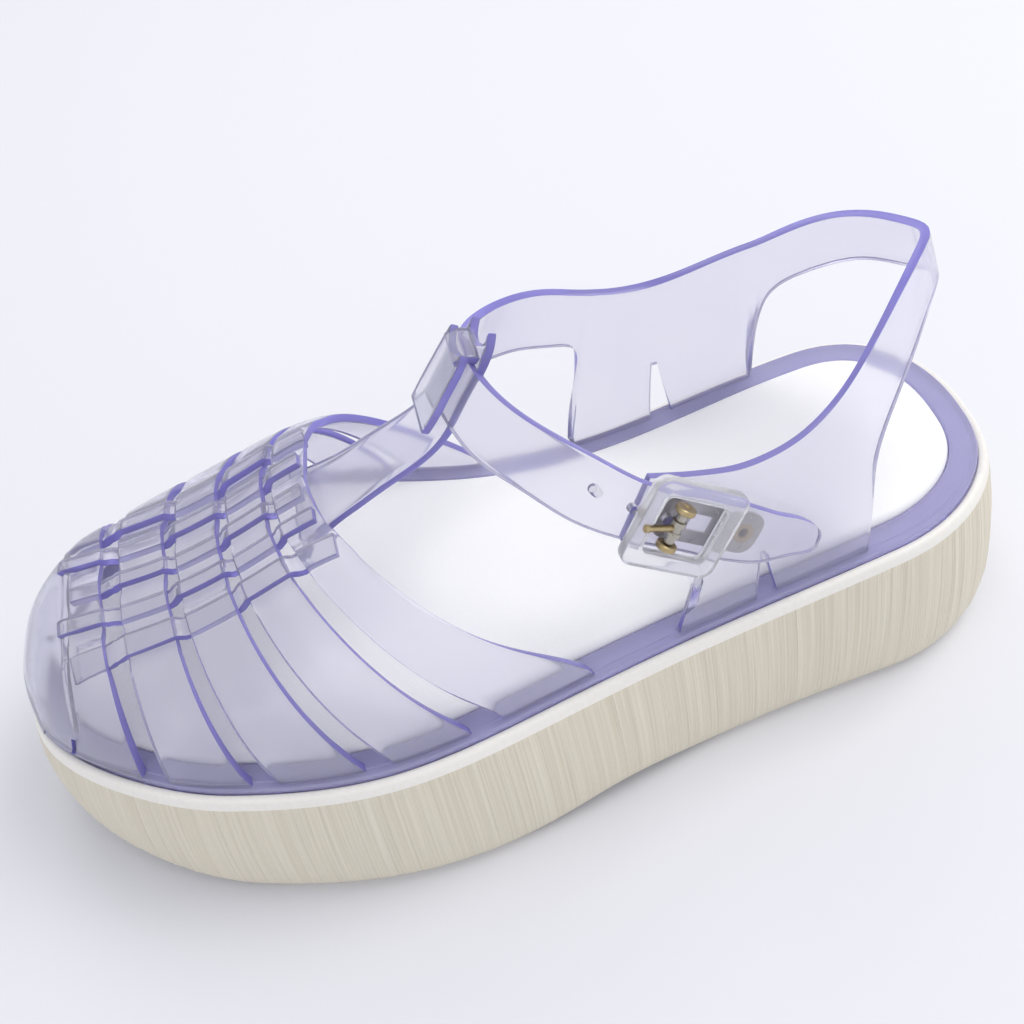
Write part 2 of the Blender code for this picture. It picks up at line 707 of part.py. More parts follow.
def cylinder(name, radius, low, high, place, group, segments=20):
    """A round bar along the local z axis of place."""
    shape = bmesh.new()
    middle = Matrix.Translation((0.0, 0.0, (low + high) / 2.0))
    bmesh.ops.create_cone(shape, cap_ends=True, segments=segments, radius1=radius,
                          radius2=radius, depth=high - low, matrix=place @ middle)
    return new_object(name, mesh_from(shape, name), group)


def add_boolean(target, other, kind):
    made = target.modifiers.new(kind.lower(), "BOOLEAN")
    made.operation = kind
    made.solver = "EXACT"
    made.object = other


def make_upper(group, cutters):
    """One moulded piece: flange, woven vamp, T-bar with loop, quarters and straps."""
    upper = new_object("upper", flange_mesh(), group)
    joined = [
        thick_sheet(vamp_mesh(), "vamp_sheet", cutters, Vector((0.0, -0.3, 1.0))),
        thick_sheet(back_mesh(), "back_sheet", cutters, Vector((1.0, 0.0, 0.0))),
        thick_sheet(strip_mesh(T_BAR), "t_bar", cutters, Vector((0.0, -0.3, 1.0))),
        thick_sheet(strip_mesh(FLAP), "loop_flap", cutters, Vector((0.0, -0.3, 1.0))),
        thick_sheet(strip_mesh(WEB), "loop_web", cutters, Vector((0.0, -0.1, 1.0))),
    ]
    for piece in joined:
        add_boolean(upper, piece, "UNION")
    # The toe cap folds on itself inside the flange.
    upper.modifiers[0].use_self = True
    place = buckle_frame()
    strap_face = CLEAR + PLATE_THICK + CLEAR + WALL
    for step, depth in enumerate((1.25, 1.25, 3.0)):
        spot = place @ Matrix.Translation((PRONG_AT - step * HOLE_PITCH, 0.0, strap_face))
        hole = cylinder(f"strap_hole_{step}", HOLE / 2.0, -WALL * depth, WALL, spot, cutters, 12)
        add_boolean(upper, hole, "DIFFERENCE")
    spot = place @ Matrix.Translation((RIVET_REACH, 0.0, 0.0))
    hole = cylinder("rivet_hole", RIVET_SHANK / 2.0 + CLEAR, -WALL * 2.6, WALL * 0.55, spot, cutters, 16)
    add_boolean(upper, hole, "DIFFERENCE")
    upper.data.materials.append(material("clear lilac PVC", (0.62, 0.60, 0.90), 0.15, 0.0, 0.8))
    return upper


def rounded_rectangle(length, width, corner, steps=4):
    """Corner points of a rectangle with round corners, counter-clockwise."""
    points = []
    for quarter in range(4):
        sign_x = (1, -1, -1, 1)[quarter]
        sign_y = (1, 1, -1, -1)[quarter]
        for i in range(steps + 1):
            angle = math.pi / 2.0 * (quarter + i / steps)
            x = sign_x * (length / 2.0 - corner) + corner * math.cos(angle)
            y = sign_y * (width / 2.0 - corner) + corner * math.sin(angle)
            points.append((x, y))
    return points


def make_frame(group):
    """Plastic buckle frame: a rounded square ring over the strap."""
    place = buckle_frame()
    low = CLEAR + PLATE_THICK + CLEAR + WALL + CLEAR
    outer = rounded_rectangle(FRAME_LENGTH, FRAME_WIDTH, FRAME_CORNER)
    inner = rounded_rectangle(FRAME_LENGTH - 2 * FRAME_BAR, FRAME_WIDTH - 2 * FRAME_BAR, FRAME_CORNER / 2.5)
    chamfer = 0.8 * MM
    shape = bmesh.new()
    rings = []
    for points, height, spread in ((outer, low, 0.0), (outer, low + FRAME_THICK - chamfer, 0.0),
                                   (outer, low + FRAME_THICK, -chamfer), (inner, low + FRAME_THICK, chamfer),
                                   (inner, low + FRAME_THICK - chamfer, 0.0), (inner, low, 0.0)):
        ring = []
        for x, y in points:
            scale = 1.0 + spread / max(math.hypot(x, y), MM)
            ring.append(shape.verts.new(place @ Vector((x * scale, y * scale, height))))
        rings.append(ring)
    count = len(outer)
    for a, b in zip(rings, rings[1:] + rings[:1]):
        for i in range(count):
            j = (i + 1) % count
            shape.faces.new((a[i], a[j], b[j], b[i]))
    frame = new_object("buckle_frame", mesh_from(shape, "buckle_frame"), group)
    frame.data.materials.append(material("clear acrylic", (0.86, 0.86, 0.88), 0.12, 0.0, 0.7))
    return frame


def make_plate(group, cutters):
    """Metal base plate under the strap, with its windows, held by the rivet."""
    place = buckle_frame()
    start = -FRAME_LENGTH * 0.22
    end = RIVET_REACH + RIVET_HEAD * 0.62
    shape = bmesh.new()
    centre = Matrix.Translation(((start + end) / 2.0, 0.0, CLEAR + PLATE_THICK / 2.0))
    size = Matrix.Diagonal((end - start, PLATE_WIDTH, PLATE_THICK, 1.0))
    bmesh.ops.create_cube(shape, size=1.0, matrix=centre @ size)
    upright = [e for e in shape.edges if abs(e.verts[0].co.z - e.verts[1].co.z) > PLATE_THICK / 2.0]
    bmesh.ops.bevel(shape, geom=upright, offset=3.5 * MM, offset_type="OFFSET", segments=4,
                    profile=0.5, affect="EDGES", material=-1)
    bmesh.ops.transform(shape, matrix=place, verts=shape.verts)
    plate = new_object("buckle_plate", mesh_from(shape, "buckle_plate"), group)
    window = bmesh.new()
    size = Matrix.Diagonal((PLATE_WINDOW * 1.3, PLATE_WINDOW, PLATE_THICK * 4.0, 1.0))
    spot = place @ Matrix.Translation((FRAME_LENGTH * 0.24, 0.0, CLEAR + PLATE_THICK / 2.0))
    bmesh.ops.create_cube(window, size=1.0, matrix=spot @ size)
    cutter = new_object("plate_window", mesh_from(window, "plate_window"), cutters)
    add_boolean(plate, cutter, "DIFFERENCE")
    spot = place @ Matrix.Translation((RIVET_REACH, 0.0, 0.0))
    hole = cylinder("plate_rivet_hole", RIVET_SHANK / 2.0 + CLEAR, -PLATE_THICK, PLATE_THICK * 4.0, spot, cutters, 16)
    add_boolean(plate, hole, "DIFFERENCE")
    plate.data.materials.append(material("nickel plated steel", (0.62, 0.58, 0.50), 0.35, 1.0))
    return plate


def make_rivet(group):
    """Rivet through quarter and plate, with a washer head on the inside."""
    guide = quarter_guide()
    place = buckle_frame()
    reach = RIVET_HEAD / 2.0
    around = [quarter_level(guide, place, RIVET_REACH + dx * reach, dy * reach)
              for dx in (-1.0, 0.0, 1.0) for dy in (-1.0, 0.0, 1.0)]
    place = place @ Matrix.Translation((RIVET_REACH, 0.0, 0.0))
    inside = min(around) - WALL - CLEAR
    outside = CLEAR + PLATE_THICK
    profile = (
        (0.0, inside - RIVET_CAP),
        (RIVET_HEAD * 0.40, inside - RIVET_CAP),
        (RIVET_HEAD * 0.50, inside),
        (RIVET_SHANK / 2.0, inside),
        (RIVET_SHANK / 2.0, outside - CLEAR),
        (RIVET_SHANK / 2.0 - CLEAR, outside),
        (0.0, outside),
    )
    shape = bmesh.new()
    edge = [shape.verts.new((radius, 0.0, height)) for radius, height in profile]
    lines = [shape.edges.new((a, b)) for a, b in zip(edge[:-1], edge[1:])]
    bmesh.ops.spin(shape, geom=edge + lines, cent=(0, 0, 0), axis=(0, 0, 1),
                   angle=2.0 * math.pi, steps=20, use_merge=True)
    bmesh.ops.transform(shape, matrix=place, verts=shape.verts)
    rivet = new_object("rivet", mesh_from(shape, "rivet"), group)
    rivet.data.materials.append(material("brass", (0.60, 0.47, 0.28), 0.3, 1.0))
    return rivet


def make_prong(group):
    """Prong: up through the strap's hole and forward over the frame's front bar."""
    place = buckle_frame()
    radius = PRONG_WIRE / 2.0
    foot = CLEAR + PLATE_THICK + CLEAR
    over = CLEAR + PLATE_THICK + CLEAR + WALL + CLEAR + FRAME_THICK + CLEAR + radius
    front = -FRAME_LENGTH / 2.0 + FRAME_BAR * 0.45
    path = (
        (PRONG_AT, foot),
        (PRONG_AT, over - 1.8 * MM),
        (PRONG_AT - 0.7 * MM, over - 0.5 * MM),
        (PRONG_AT - 2.0 * MM, over),
        (front, over),
    )
    curve = bpy.data.curves.new("prong", "CURVE")
    curve.dimensions = "3D"
    curve.bevel_depth = radius
    curve.bevel_resolution = 2
    curve.use_fill_caps = True
    line = curve.splines.new("POLY")
    line.points.add(len(path) - 1)
    for point, (x, z) in zip(line.points, path):
        point.co = (*(place @ Vector((x, 0.0, z))), 1.0)
    wire = bpy.data.objects.new("prong_wire", curve)
    group.objects.link(wire)
    bpy.context.view_layer.update()
    depsgraph = bpy.context.evaluated_depsgraph_get()
    mesh = bpy.data.meshes.new_from_object(wire.evaluated_get(depsgraph))
    shape = bmesh.new()
    shape.from_mesh(mesh)
    bpy.data.objects.remove(wire)
    prong = new_object("buckle_prong", mesh_from(shape, "buckle_prong"), group)
    prong.data.materials.clear()
    prong.data.materials.append(material("nickel plated brass", (0.66, 0.60, 0.48), 0.3, 1.0))
    return prong


def centre(objects):
    """Move everything so that the middle of the sole's box stands on the origin."""
    sole = bpy.data.objects["sole"].data
    places = np.array([vertex.co[:] for vertex in sole.vertices])
    middle = (places.min(axis=0) + places.max(axis=0)) / 2.0
    shift = Matrix.Translation((-middle[0], -middle[1], -places[:, 2].min()))
    for piece in objects:
        piece.data.transform(shift)


def finish(group):
    """Shade smooth, with crisp edges where faces meet sharply."""
    for piece in group.objects:
        piece.data.shade_smooth()
        piece.data.set_sharp_from_angle(angle=math.radians(35))


def main():
    for old in list(bpy.data.objects):
        bpy.data.objects.remove(old)
    group = bpy.data.collections.new("jelly_sandal")
    cutters = bpy.data.collections.new("shaping")
    bpy.context.scene.collection.children.link(group)
    bpy.context.scene.collection.children.link(cutters)
    make_sole(group, cutters)
    make_insole(group)
    make_upper(group, cutters)
    make_frame(group)
    make_plate(group, cutters)
    make_rivet(group)
    make_prong(group)
    centre(list(group.objects) + list(cutters.objects))
    for helper in cutters.objects:
        helper.hide_render = True
        helper.display_type = "WIRE"
    finish(group)


main()
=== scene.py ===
# %% [markdown]
# # A jelly sandal
# The sandal is a clear, lilac tinted strap upper, moulded in one shot, on a thick cream foam sole.
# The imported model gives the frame: where each piece sits and how big it is. This script makes the
# pieces again with the detail that the eye looks for, and gives each one its real finish.

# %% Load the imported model
import math

import bmesh
import bpy
import numpy as np
from mathutils import Euler, Matrix, Vector, noise


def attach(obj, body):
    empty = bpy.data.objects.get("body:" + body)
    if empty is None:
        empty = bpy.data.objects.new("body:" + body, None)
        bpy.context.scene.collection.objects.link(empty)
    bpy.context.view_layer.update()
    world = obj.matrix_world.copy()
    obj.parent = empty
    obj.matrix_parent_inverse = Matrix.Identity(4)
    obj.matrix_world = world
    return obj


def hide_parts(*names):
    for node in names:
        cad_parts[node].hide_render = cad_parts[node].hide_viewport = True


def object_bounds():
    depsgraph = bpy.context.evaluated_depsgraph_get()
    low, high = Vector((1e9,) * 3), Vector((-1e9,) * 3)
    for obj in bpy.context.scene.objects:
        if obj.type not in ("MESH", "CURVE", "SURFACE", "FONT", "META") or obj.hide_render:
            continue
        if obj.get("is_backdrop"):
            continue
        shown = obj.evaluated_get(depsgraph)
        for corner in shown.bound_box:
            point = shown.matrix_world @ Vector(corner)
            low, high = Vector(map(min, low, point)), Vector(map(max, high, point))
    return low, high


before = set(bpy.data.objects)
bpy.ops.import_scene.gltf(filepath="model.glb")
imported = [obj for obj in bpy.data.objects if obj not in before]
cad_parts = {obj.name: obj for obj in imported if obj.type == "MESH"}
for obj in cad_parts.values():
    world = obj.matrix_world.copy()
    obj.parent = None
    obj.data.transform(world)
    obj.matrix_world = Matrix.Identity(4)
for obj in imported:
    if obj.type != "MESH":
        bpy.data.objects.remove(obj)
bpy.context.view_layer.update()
MM = 0.001

# %% [markdown]
# ## Sizes
# A shoe is drawn round its last, the block that has the foot's shape. Its outline is read at
# stations from the toe, 0, to the heel, 1. A smooth curve through a few given values gives
# the same flowing line that a pattern maker gets from a spline, with few numbers to change.

# %% Named sizes
SOLE_LENGTH = 258 * MM      # toe to heel along the sole's top edge
BALL_WIDTH = 106 * MM       # widest place of the top edge
HEEL_WIDTH = 78 * MM        # widest place of the heel's top edge
SOLE_HEIGHT = 46.5 * MM     # floor to top edge under the heel
VAMP_RISE = 28 * MM         # woven toe above the top edge
COLLAR_RISE = 58 * MM       # rim of the quarters above the top edge
LIP_WIDTH = 2.0 * MM        # foam lip left around the flange
SEAT_DEPTH = 1.7 * MM       # how deep flange and footbed sit in the sole
FLANGE_WIDTH = 7.0 * MM
STRAP_INSET = 3.5 * MM      # outer face of the straps, in from the top edge
STRAP_ROOT = 1.2 * MM       # straps end this high above the lip
INSOLE_PROUD = 3.4 * MM     # footbed above the lip
WALL = 2.2 * MM             # thickness of the moulded straps
CLEAR = 0.3 * MM            # gap between pieces that touch
print("top edge in mm:", round(SOLE_LENGTH / MM), "by", round(BALL_WIDTH / MM))

# %% [markdown]
# The curve is a natural cubic spline, the line that a thin strip of wood takes when it is held at
# a few points. It is worked out here, so that one function reads single points and whole arrays.

# %% A smooth curve through a few values


def curve_through(knots, values):
    """A natural cubic curve through the values, as a function of a number or an array."""
    knots = np.asarray(knots, float)
    values = np.asarray(values, float)
    step = np.diff(knots)
    count = len(knots)
    system = np.eye(count)
    right = np.zeros((count,) + values.shape[1:])
    for i in range(1, count - 1):
        system[i, i - 1:i + 2] = step[i - 1], 2.0 * (step[i - 1] + step[i]), step[i]
        after = (values[i + 1] - values[i]) / step[i]
        before = (values[i] - values[i - 1]) / step[i - 1]
        right[i] = 6.0 * (after - before)
    bend = np.linalg.solve(system, right)

    def read(where):
        where = np.asarray(where, float)
        span = np.clip(np.searchsorted(knots, where) - 1, 0, count - 2)
        width = step[span]
        after = (where - knots[span]) / width
        before = 1.0 - after
        if values.ndim > 1:
            after, before, width = after[..., None], before[..., None], width[..., None]
        curve = (before ** 3 - before) * bend[span] + (after ** 3 - after) * bend[span + 1]
        return before * values[span] + after * values[span + 1] + curve * width ** 2 / 6.0

    return read


print("halfway on a curve through 0, 1, 0:", round(float(curve_through((0, 1, 2), (0, 1, 0))(0.5)), 3))

# %% [markdown]
# ## The outline of the last
# The two sides of a foot differ: the inner side is fuller at the big toe and hollow at the arch.
# So the outline has one curve for each side, and a rounding that closes it at toe and heel.

# %% Outline, top edge and underside of the sole
STATION = (0.0, 0.10, 0.22, 0.35, 0.50, 0.65, 0.82, 1.0)
outer_side = curve_through(STATION, (0.321, 0.396, 0.492, 0.545, 0.490, 0.408, 0.357, 0.297))
inner_side = curve_through(STATION, (0.399, 0.442, 0.492, 0.457, 0.336, 0.330, 0.382, 0.386))
top_edge = curve_through(STATION, (0.731, 0.830, 0.877, 0.914, 0.940, 0.935, 1.009, 1.097))
wall_flare = curve_through(STATION, (0.018, 0.038, 0.038, 0.040, 0.054, 0.044, 0.035, 0.058))


def end_round(at):
    """Falls to 0 at toe and heel, so that the outline closes in round ends."""
    toe_share = np.clip(1.0 - at / 0.197, 0.0, 1.0)
    heel_share = np.clip(1.0 - (1.0 - at) / 0.140, 0.0, 1.0)
    toe_fall = (1.0 - toe_share ** 2.13) ** (1.0 / 2.13)
    return toe_fall * (1.0 - heel_share ** 2.32) ** (1.0 / 2.32)


def edge_height(at):
    """Height of the sole's top edge."""
    return top_edge(at) * SOLE_HEIGHT


def along(at):
    """Place of a station on the sandal's long axis, the toe at the low end."""
    return (np.asarray(at, float) - 0.5) * SOLE_LENGTH


def ground(at):
    """Underside of the sole: toe spring, arch and a lifted heel end."""
    toe_share = np.clip(1.0 - at / 0.292, 0.0, 1.0)
    heel_share = np.clip((at - 0.9) / 0.1, 0.0, 1.0)
    arch = np.exp(-((at - 0.56) / 0.075) ** 2)
    arch = np.where(arch < 0.04, 0.0, arch)
    return (6.3 * toe_share ** 2 + 3.9 * heel_share ** 2 + 3.3 * arch) * MM


edge_at = [round(float(edge_height(at)) / MM, 1) for at in (0.0, 0.35, 1.0)]
print("top edge at toe, ball and heel in mm:", edge_at)

# %% [markdown]
# Rings of points are then laid round that outline at any inset and height. The stations crowd
# together at toe and heel, by a cosine, because the outline turns fastest there.

# %% Rings and places beside the edge


def outline(count):
    """Points and inward directions round the outline, outer side first: 2 * count - 2 of them."""
    at = (1.0 - np.cos(np.linspace(0.0, math.pi, count))) / 2.0
    fall = end_round(at)
    stations = np.concatenate([at, at[-2:0:-1]])
    outer = outer_side(at) * BALL_WIDTH * fall
    inner = -inner_side(at) * BALL_WIDTH * fall
    points = np.stack([np.concatenate([outer, inner[-2:0:-1]]), along(stations)], axis=1)
    run = np.roll(points, -1, axis=0) - np.roll(points, 1, axis=0)
    run /= np.hypot(run[:, 0], run[:, 1])[:, None]
    return stations, points, np.stack([-run[:, 1], run[:, 0]], axis=1)


def ring(count, inset, height):
    """One ring of the outline moved inwards. height reads the station a point ends up at."""
    _, points, inward = outline(count)
    inset = np.asarray(inset, float)
    moved = points + inward * (inset[:, None] if inset.ndim else inset)
    reached = np.clip(moved[:, 1] / SOLE_LENGTH + 0.5, 0.0, 1.0)
    return np.concatenate([moved, height(reached)[:, None]], axis=1)


def side_point(at, side, inset, rise):
    """A point beside the top edge at one station; side is +1 outer or -1 inner."""
    width = outer_side if side > 0 else inner_side
    places = np.array([at - 0.004, at, at + 0.004])
    x = side * width(places) * BALL_WIDTH * end_round(places)
    y = along(places)
    run = Vector((x[2] - x[0], y[2] - y[0], 0.0)).normalized()
    inward = Vector((-run.y, run.x, 0.0)) * side
    return Vector((x[1], y[1], float(edge_height(at)) + rise)) + inward * inset


print("points in a ring of 45 stations:", len(ring(45, 0.0, edge_height)))

# %% [markdown]
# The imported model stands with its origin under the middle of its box, so everything drawn from
# the stations is moved by the same small step at the end. The box is that of the sole's wall,
# which stands out furthest all round.

# %% Where the stations lie in the model's frame
WALL_BULGE = 1.8 * MM
GROUND_ROUNDING = 2.6 * MM
WALL_LEVELS = (0.0, 0.05, 0.11, 0.2, 0.4, 0.6, 0.8, 0.95, 1.0)
BOX_STATIONS = 45


def wall_stand(share, flare):
    """How far the sole's wall stands out from the top edge. share is 0 at the ground, 1 on top."""
    belly = WALL_BULGE * 4.0 * share * (1.0 - share)
    return flare * (1.0 - share) + belly - GROUND_ROUNDING * max(0.0, 1.0 - share / 0.17) ** 2


flare = wall_flare(outline(BOX_STATIONS)[0]) * BALL_WIDTH
wall = [ring(BOX_STATIONS, -wall_stand(share, flare), edge_height)[:, :2] for share in WALL_LEVELS]
wall = np.concatenate(wall)
middle = (wall.min(axis=0) + wall.max(axis=0)) / 2.0
SHIFT = Matrix.Translation((-middle[0], -middle[1], 0.0))
print("stations are moved by mm:", [round(float(v) / -MM, 2) for v in middle])

# %% [markdown]
# ## Materials
# Every colour is written as the hex value that a colour picker shows and turned to linear light,
# which is what the shader works in. One function adds a node, so each material reads as a list.

# %% Colour and node helpers


def hex_colour(text):
    """The linear colour of a hex value such as #C5BEA8."""
    values = [int(text[i:i + 2], 16) / 255.0 for i in (1, 3, 5)]
    return tuple(v / 12.92 if v <= 0.04045 else ((v + 0.055) / 1.055) ** 2.4 for v in values) + (1.0,)


def add_node(tree, kind, settings=None, **inputs):
    """Adds a node, with its settings, and sets or links its inputs by name."""
    node = tree.nodes.new(kind)
    for name, value in (settings or {}).items():
        setattr(node, name, value)
    for name, value in inputs.items():
        by_number = name[1:].isdigit()
        socket = node.inputs[int(name[1:]) if by_number else name.replace("_", " ")]
        if isinstance(value, bpy.types.NodeSocket):
            tree.links.new(value, socket)
        else:
            socket.default_value = value
    return node


def new_material(name):
    """A new material, with its node tree and its Principled shader."""
    made = bpy.data.materials.new(name)
    made.use_nodes = True
    tree = made.node_tree
    return made, tree, tree.nodes["Principled BSDF"]


print("middle grey in linear light:", round(hex_colour("#808080")[0], 3))

# %% [markdown]
# ### Clear PVC
# The upper is plasticised PVC, injected clear with a little violet dye. Face on, a strap is only
# 2 mm deep and looks almost colourless. Edge on, light runs the length of the strap and comes out
# deep violet. A tint inside the volume does this by itself. The rims are painted violet as well,
# a painted glow for that light.

# %% Clear lilac PVC


def pvc(name, light, deep, clearness, roughness):
    """Clear PVC with a violet tint in its depth. clearness is the share of light that goes through."""
    made, tree, shader = new_material(name)
    place = add_node(tree, "ShaderNodeTexCoord").outputs["Object"]
    # The dye is stirred in unevenly: clouds about 20 mm wide wander between the two colours.
    cloud = add_node(tree, "ShaderNodeTexNoise", Vector=place, Scale=50.0, Detail=2.0, Roughness=0.5)
    tone = add_node(tree, "ShaderNodeMix", {"data_type": "RGBA"}, _0=cloud.outputs["Fac"])
    tone.inputs[6].default_value = hex_colour(deep)
    tone.inputs[7].default_value = hex_colour(light)
    tree.links.new(tone.outputs[2], shader.inputs["Base Color"])
    shader.inputs["Roughness"].default_value = roughness
    shader.inputs["IOR"].default_value = 1.45
    shader.inputs["Transmission Weight"].default_value = clearness
    tint = add_node(tree, "ShaderNodeVolumeAbsorption", Color=hex_colour("#9A90FC"), Density=32.0)
    tree.links.new(tint.outputs["Volume"], tree.nodes["Material Output"].inputs["Volume"])
    # Moulding leaves long soft waves in the surface, about 12 mm apart and a few hundredths deep.
    waves = add_node(tree, "ShaderNodeTexNoise", Vector=place, Scale=80.0, Detail=1.0, Roughness=0.4)
    ripple = add_node(tree, "ShaderNodeBump", Height=waves.outputs["Fac"], Strength=0.25, Distance=0.0006)
    tree.links.new(ripple.outputs["Normal"], shader.inputs["Normal"])
    return made


clear_pvc = pvc("clear_lilac_pvc", "#FFFFFF", "#FAF9FF", 0.86, 0.12)
# The rims are painted violet, a painted glow that stands for the light that leaves a cut or moulded edge
# after running along the strap.
pvc_painted_edge_glow = pvc("clear_lilac_pvc_edge", "#B9B3F4", "#968EE6", 0.5, 0.18)
# The flange is thicker, and lies on the foam, so its colour is seen twice as deep.
pvc_flange = pvc("clear_lilac_pvc_flange", "#E6E4FF", "#D8D5FD", 0.66, 0.14)
print("made:", clear_pvc.name, pvc_painted_edge_glow.name, pvc_flange.name)

# %% [markdown]
# ### Moulded foam
# The platform is expanded EVA foam from a steel mould. It is matt, with the cream cast of undyed
# foam, and its wall carries a fine upright grain, cut into the mould. The deeper lines are real
# geometry on the sole; the bump adds the finest ones between. A pattern on plain coordinates
# would slant where the wall curves, so the sole's points carry their distance round the wall.

# %% Cream EVA foam
eva_foam, tree, shader = new_material("cream_eva_foam")
place = add_node(tree, "ShaderNodeTexCoord").outputs["Object"]
height = add_node(tree, "ShaderNodeSeparateXYZ", Vector=place).outputs["Z"]
girth = add_node(tree, "ShaderNodeAttribute", {"attribute_name": "girth"}).outputs["Fac"]
wall_place = add_node(tree, "ShaderNodeCombineXYZ", X=girth, Z=height).outputs["Vector"]
# Grain lines half a millimetre wide that run up the whole wall. The same noise that gives the bump
# paints its grooves darker and its crests lighter: painted shade and painted light in the grain.
# They follow the wall's own measure, so they stay upright where it curves and flares.
stretched = add_node(tree, "ShaderNodeMapping", Vector=wall_place, Scale=(1900.0, 1.0, 12.0))
fine = add_node(tree, "ShaderNodeTexNoise", Vector=stretched.outputs["Vector"], Scale=1.0, Detail=1.0)
line = add_node(tree, "ShaderNodeMapRange", Value=fine.outputs["Fac"], From_Min=0.3, From_Max=0.7)
tone = add_node(tree, "ShaderNodeMix", {"data_type": "RGBA"}, _0=line.outputs["Result"])
# The darker colour goes where the bump's grooves lie: painted shade.
tone.inputs[6].default_value = hex_colour("#DAD2BE")
tone.inputs[7].default_value = hex_colour("#E7E0CE")
tree.links.new(tone.outputs[2], shader.inputs["Base Color"])
shader.inputs["Roughness"].default_value = 0.62
grain = add_node(tree, "ShaderNodeBump", Height=fine.outputs["Fac"], Strength=0.8, Distance=0.0005)
tree.links.new(grain.outputs["Normal"], shader.inputs["Normal"])
print("made:", eva_foam.name)

# %% [markdown]
# The smooth band on top of the wall is the mould's parting land. Lip and wall are lit and shaded
# copies of the same foam: the lip is painted whiter, painted light for its top that faces the
# light, while the wall stands in shade. It is smooth, with only a faint pore of about a millimetre.

# %% Smooth lip of the sole
eva_lip_painted_light, tree, shader = new_material("smooth_eva_lip")
place = add_node(tree, "ShaderNodeTexCoord").outputs["Object"]
pore = add_node(tree, "ShaderNodeTexNoise", Vector=place, Scale=900.0, Detail=2.0)
tone = add_node(tree, "ShaderNodeMix", {"data_type": "RGBA"}, _0=pore.outputs["Fac"])
# Whiter than the wall's cream: painted light for the top of the same foam.
tone.inputs[6].default_value = hex_colour("#EFEBE2")
tone.inputs[7].default_value = hex_colour("#F9F7F2")
tree.links.new(tone.outputs[2], shader.inputs["Base Color"])
shader.inputs["Roughness"].default_value = 0.5
grain = add_node(tree, "ShaderNodeBump", Height=pore.outputs["Fac"], Strength=0.1, Distance=0.0002)
tree.links.new(grain.outputs["Normal"], shader.inputs["Normal"])
print("made:", eva_lip_painted_light.name)

# %% [markdown]
# The footbed is a white foam sheet with a matt skin. A Voronoi pattern makes the skin's cells,
# and a wide noise keeps the white from being one flat value.

# %% White skin of the footbed
footbed_foam, tree, shader = new_material("white_footbed_foam")
place = add_node(tree, "ShaderNodeTexCoord").outputs["Object"]
# The footbed's skin has a fine leather-like grain of about 0.7 mm.
cells = add_node(tree, "ShaderNodeTexVoronoi", Vector=place, Scale=1400.0)
soft = add_node(tree, "ShaderNodeTexNoise", Vector=place, Scale=30.0, Detail=3.0)
tone = add_node(tree, "ShaderNodeMix", {"data_type": "RGBA"}, _0=soft.outputs["Fac"])
tone.inputs[6].default_value = hex_colour("#F7F7F8")
tone.inputs[7].default_value = hex_colour("#FCFCFC")
tree.links.new(tone.outputs[2], shader.inputs["Base Color"])
shader.inputs["Roughness"].default_value = 0.6
skin = add_node(tree, "ShaderNodeBump", Height=cells.outputs["Distance"], Strength=0.15, Distance=0.0002)
tree.links.new(skin.outputs["Normal"], shader.inputs["Normal"])
print("made:", footbed_foam.name)

# %% [markdown]
# ### Buckle
# The frame is injected acrylic, a little milky, which leaves some of its light diffuse. Thick
# acrylic shrinks as it sets, so its faces dip softly every 4 mm or so.

# %% Clear acrylic
clear_acrylic, tree, shader = new_material("milky_clear_acrylic")
shader.inputs["Base Color"].default_value = hex_colour("#FBFBFE")
shader.inputs["Roughness"].default_value = 0.12
shader.inputs["IOR"].default_value = 1.49
shader.inputs["Transmission Weight"].default_value = 0.78
place = add_node(tree, "ShaderNodeTexCoord").outputs["Object"]
sink = add_node(tree, "ShaderNodeTexNoise", Vector=place, Scale=260.0, Detail=2.0)
uneven = add_node(tree, "ShaderNodeBump", Height=sink.outputs["Fac"], Strength=0.2, Distance=0.0003)
tree.links.new(uneven.outputs["Normal"], shader.inputs["Normal"])
print("made:", clear_acrylic.name)

# %% [markdown]
# The metal is plated in a turning barrel: nickel on steel for the plate and the hub, and pale
# brass for prong, lugs and rivet. The barrel leaves a faint cloudiness of about 2 mm.

# %% Plated metals


def plated_metal(name, light, dark, roughness):
    """A plated metal: the colour and roughness wander a little, as barrel plating leaves them."""
    made, tree, shader = new_material(name)
    place = add_node(tree, "ShaderNodeTexCoord").outputs["Object"]
    cloud = add_node(tree, "ShaderNodeTexNoise", Vector=place, Scale=500.0, Detail=4.0)
    tone = add_node(tree, "ShaderNodeMix", {"data_type": "RGBA"}, _0=cloud.outputs["Fac"])
    tone.inputs[6].default_value = hex_colour(dark)
    tone.inputs[7].default_value = hex_colour(light)
    tree.links.new(tone.outputs[2], shader.inputs["Base Color"])
    shader.inputs["Metallic"].default_value = 1.0
    gloss = add_node(tree, "ShaderNodeMapRange", Value=cloud.outputs["Fac"])
    gloss.inputs["To Min"].default_value = roughness
    gloss.inputs["To Max"].default_value = roughness + 0.15
    tree.links.new(gloss.outputs["Result"], shader.inputs["Roughness"])
    return made


nickel_plate = plated_metal("nickel_plated_steel", "#C9C5BC", "#A29C90", 0.22)
pale_brass = plated_metal("plated_brass", "#CDBC93", "#A48F64", 0.24)
print("made:", nickel_plate.name, pale_brass.name)

# %% [markdown]
# ## Helpers for making pieces
# Three ways of making cover the sandal. A lofted body is an outline pulled upwards, ring by ring.
# A moulded sheet starts as a flat grid whose points are laid on the surface and then gets its
# wall and a small edge rounding. A turned part is a profile spun round its axis. Every piece goes
# through the same two steps, one that makes its object and one that finishes its mesh.

# %% Objects, modifiers and finishing


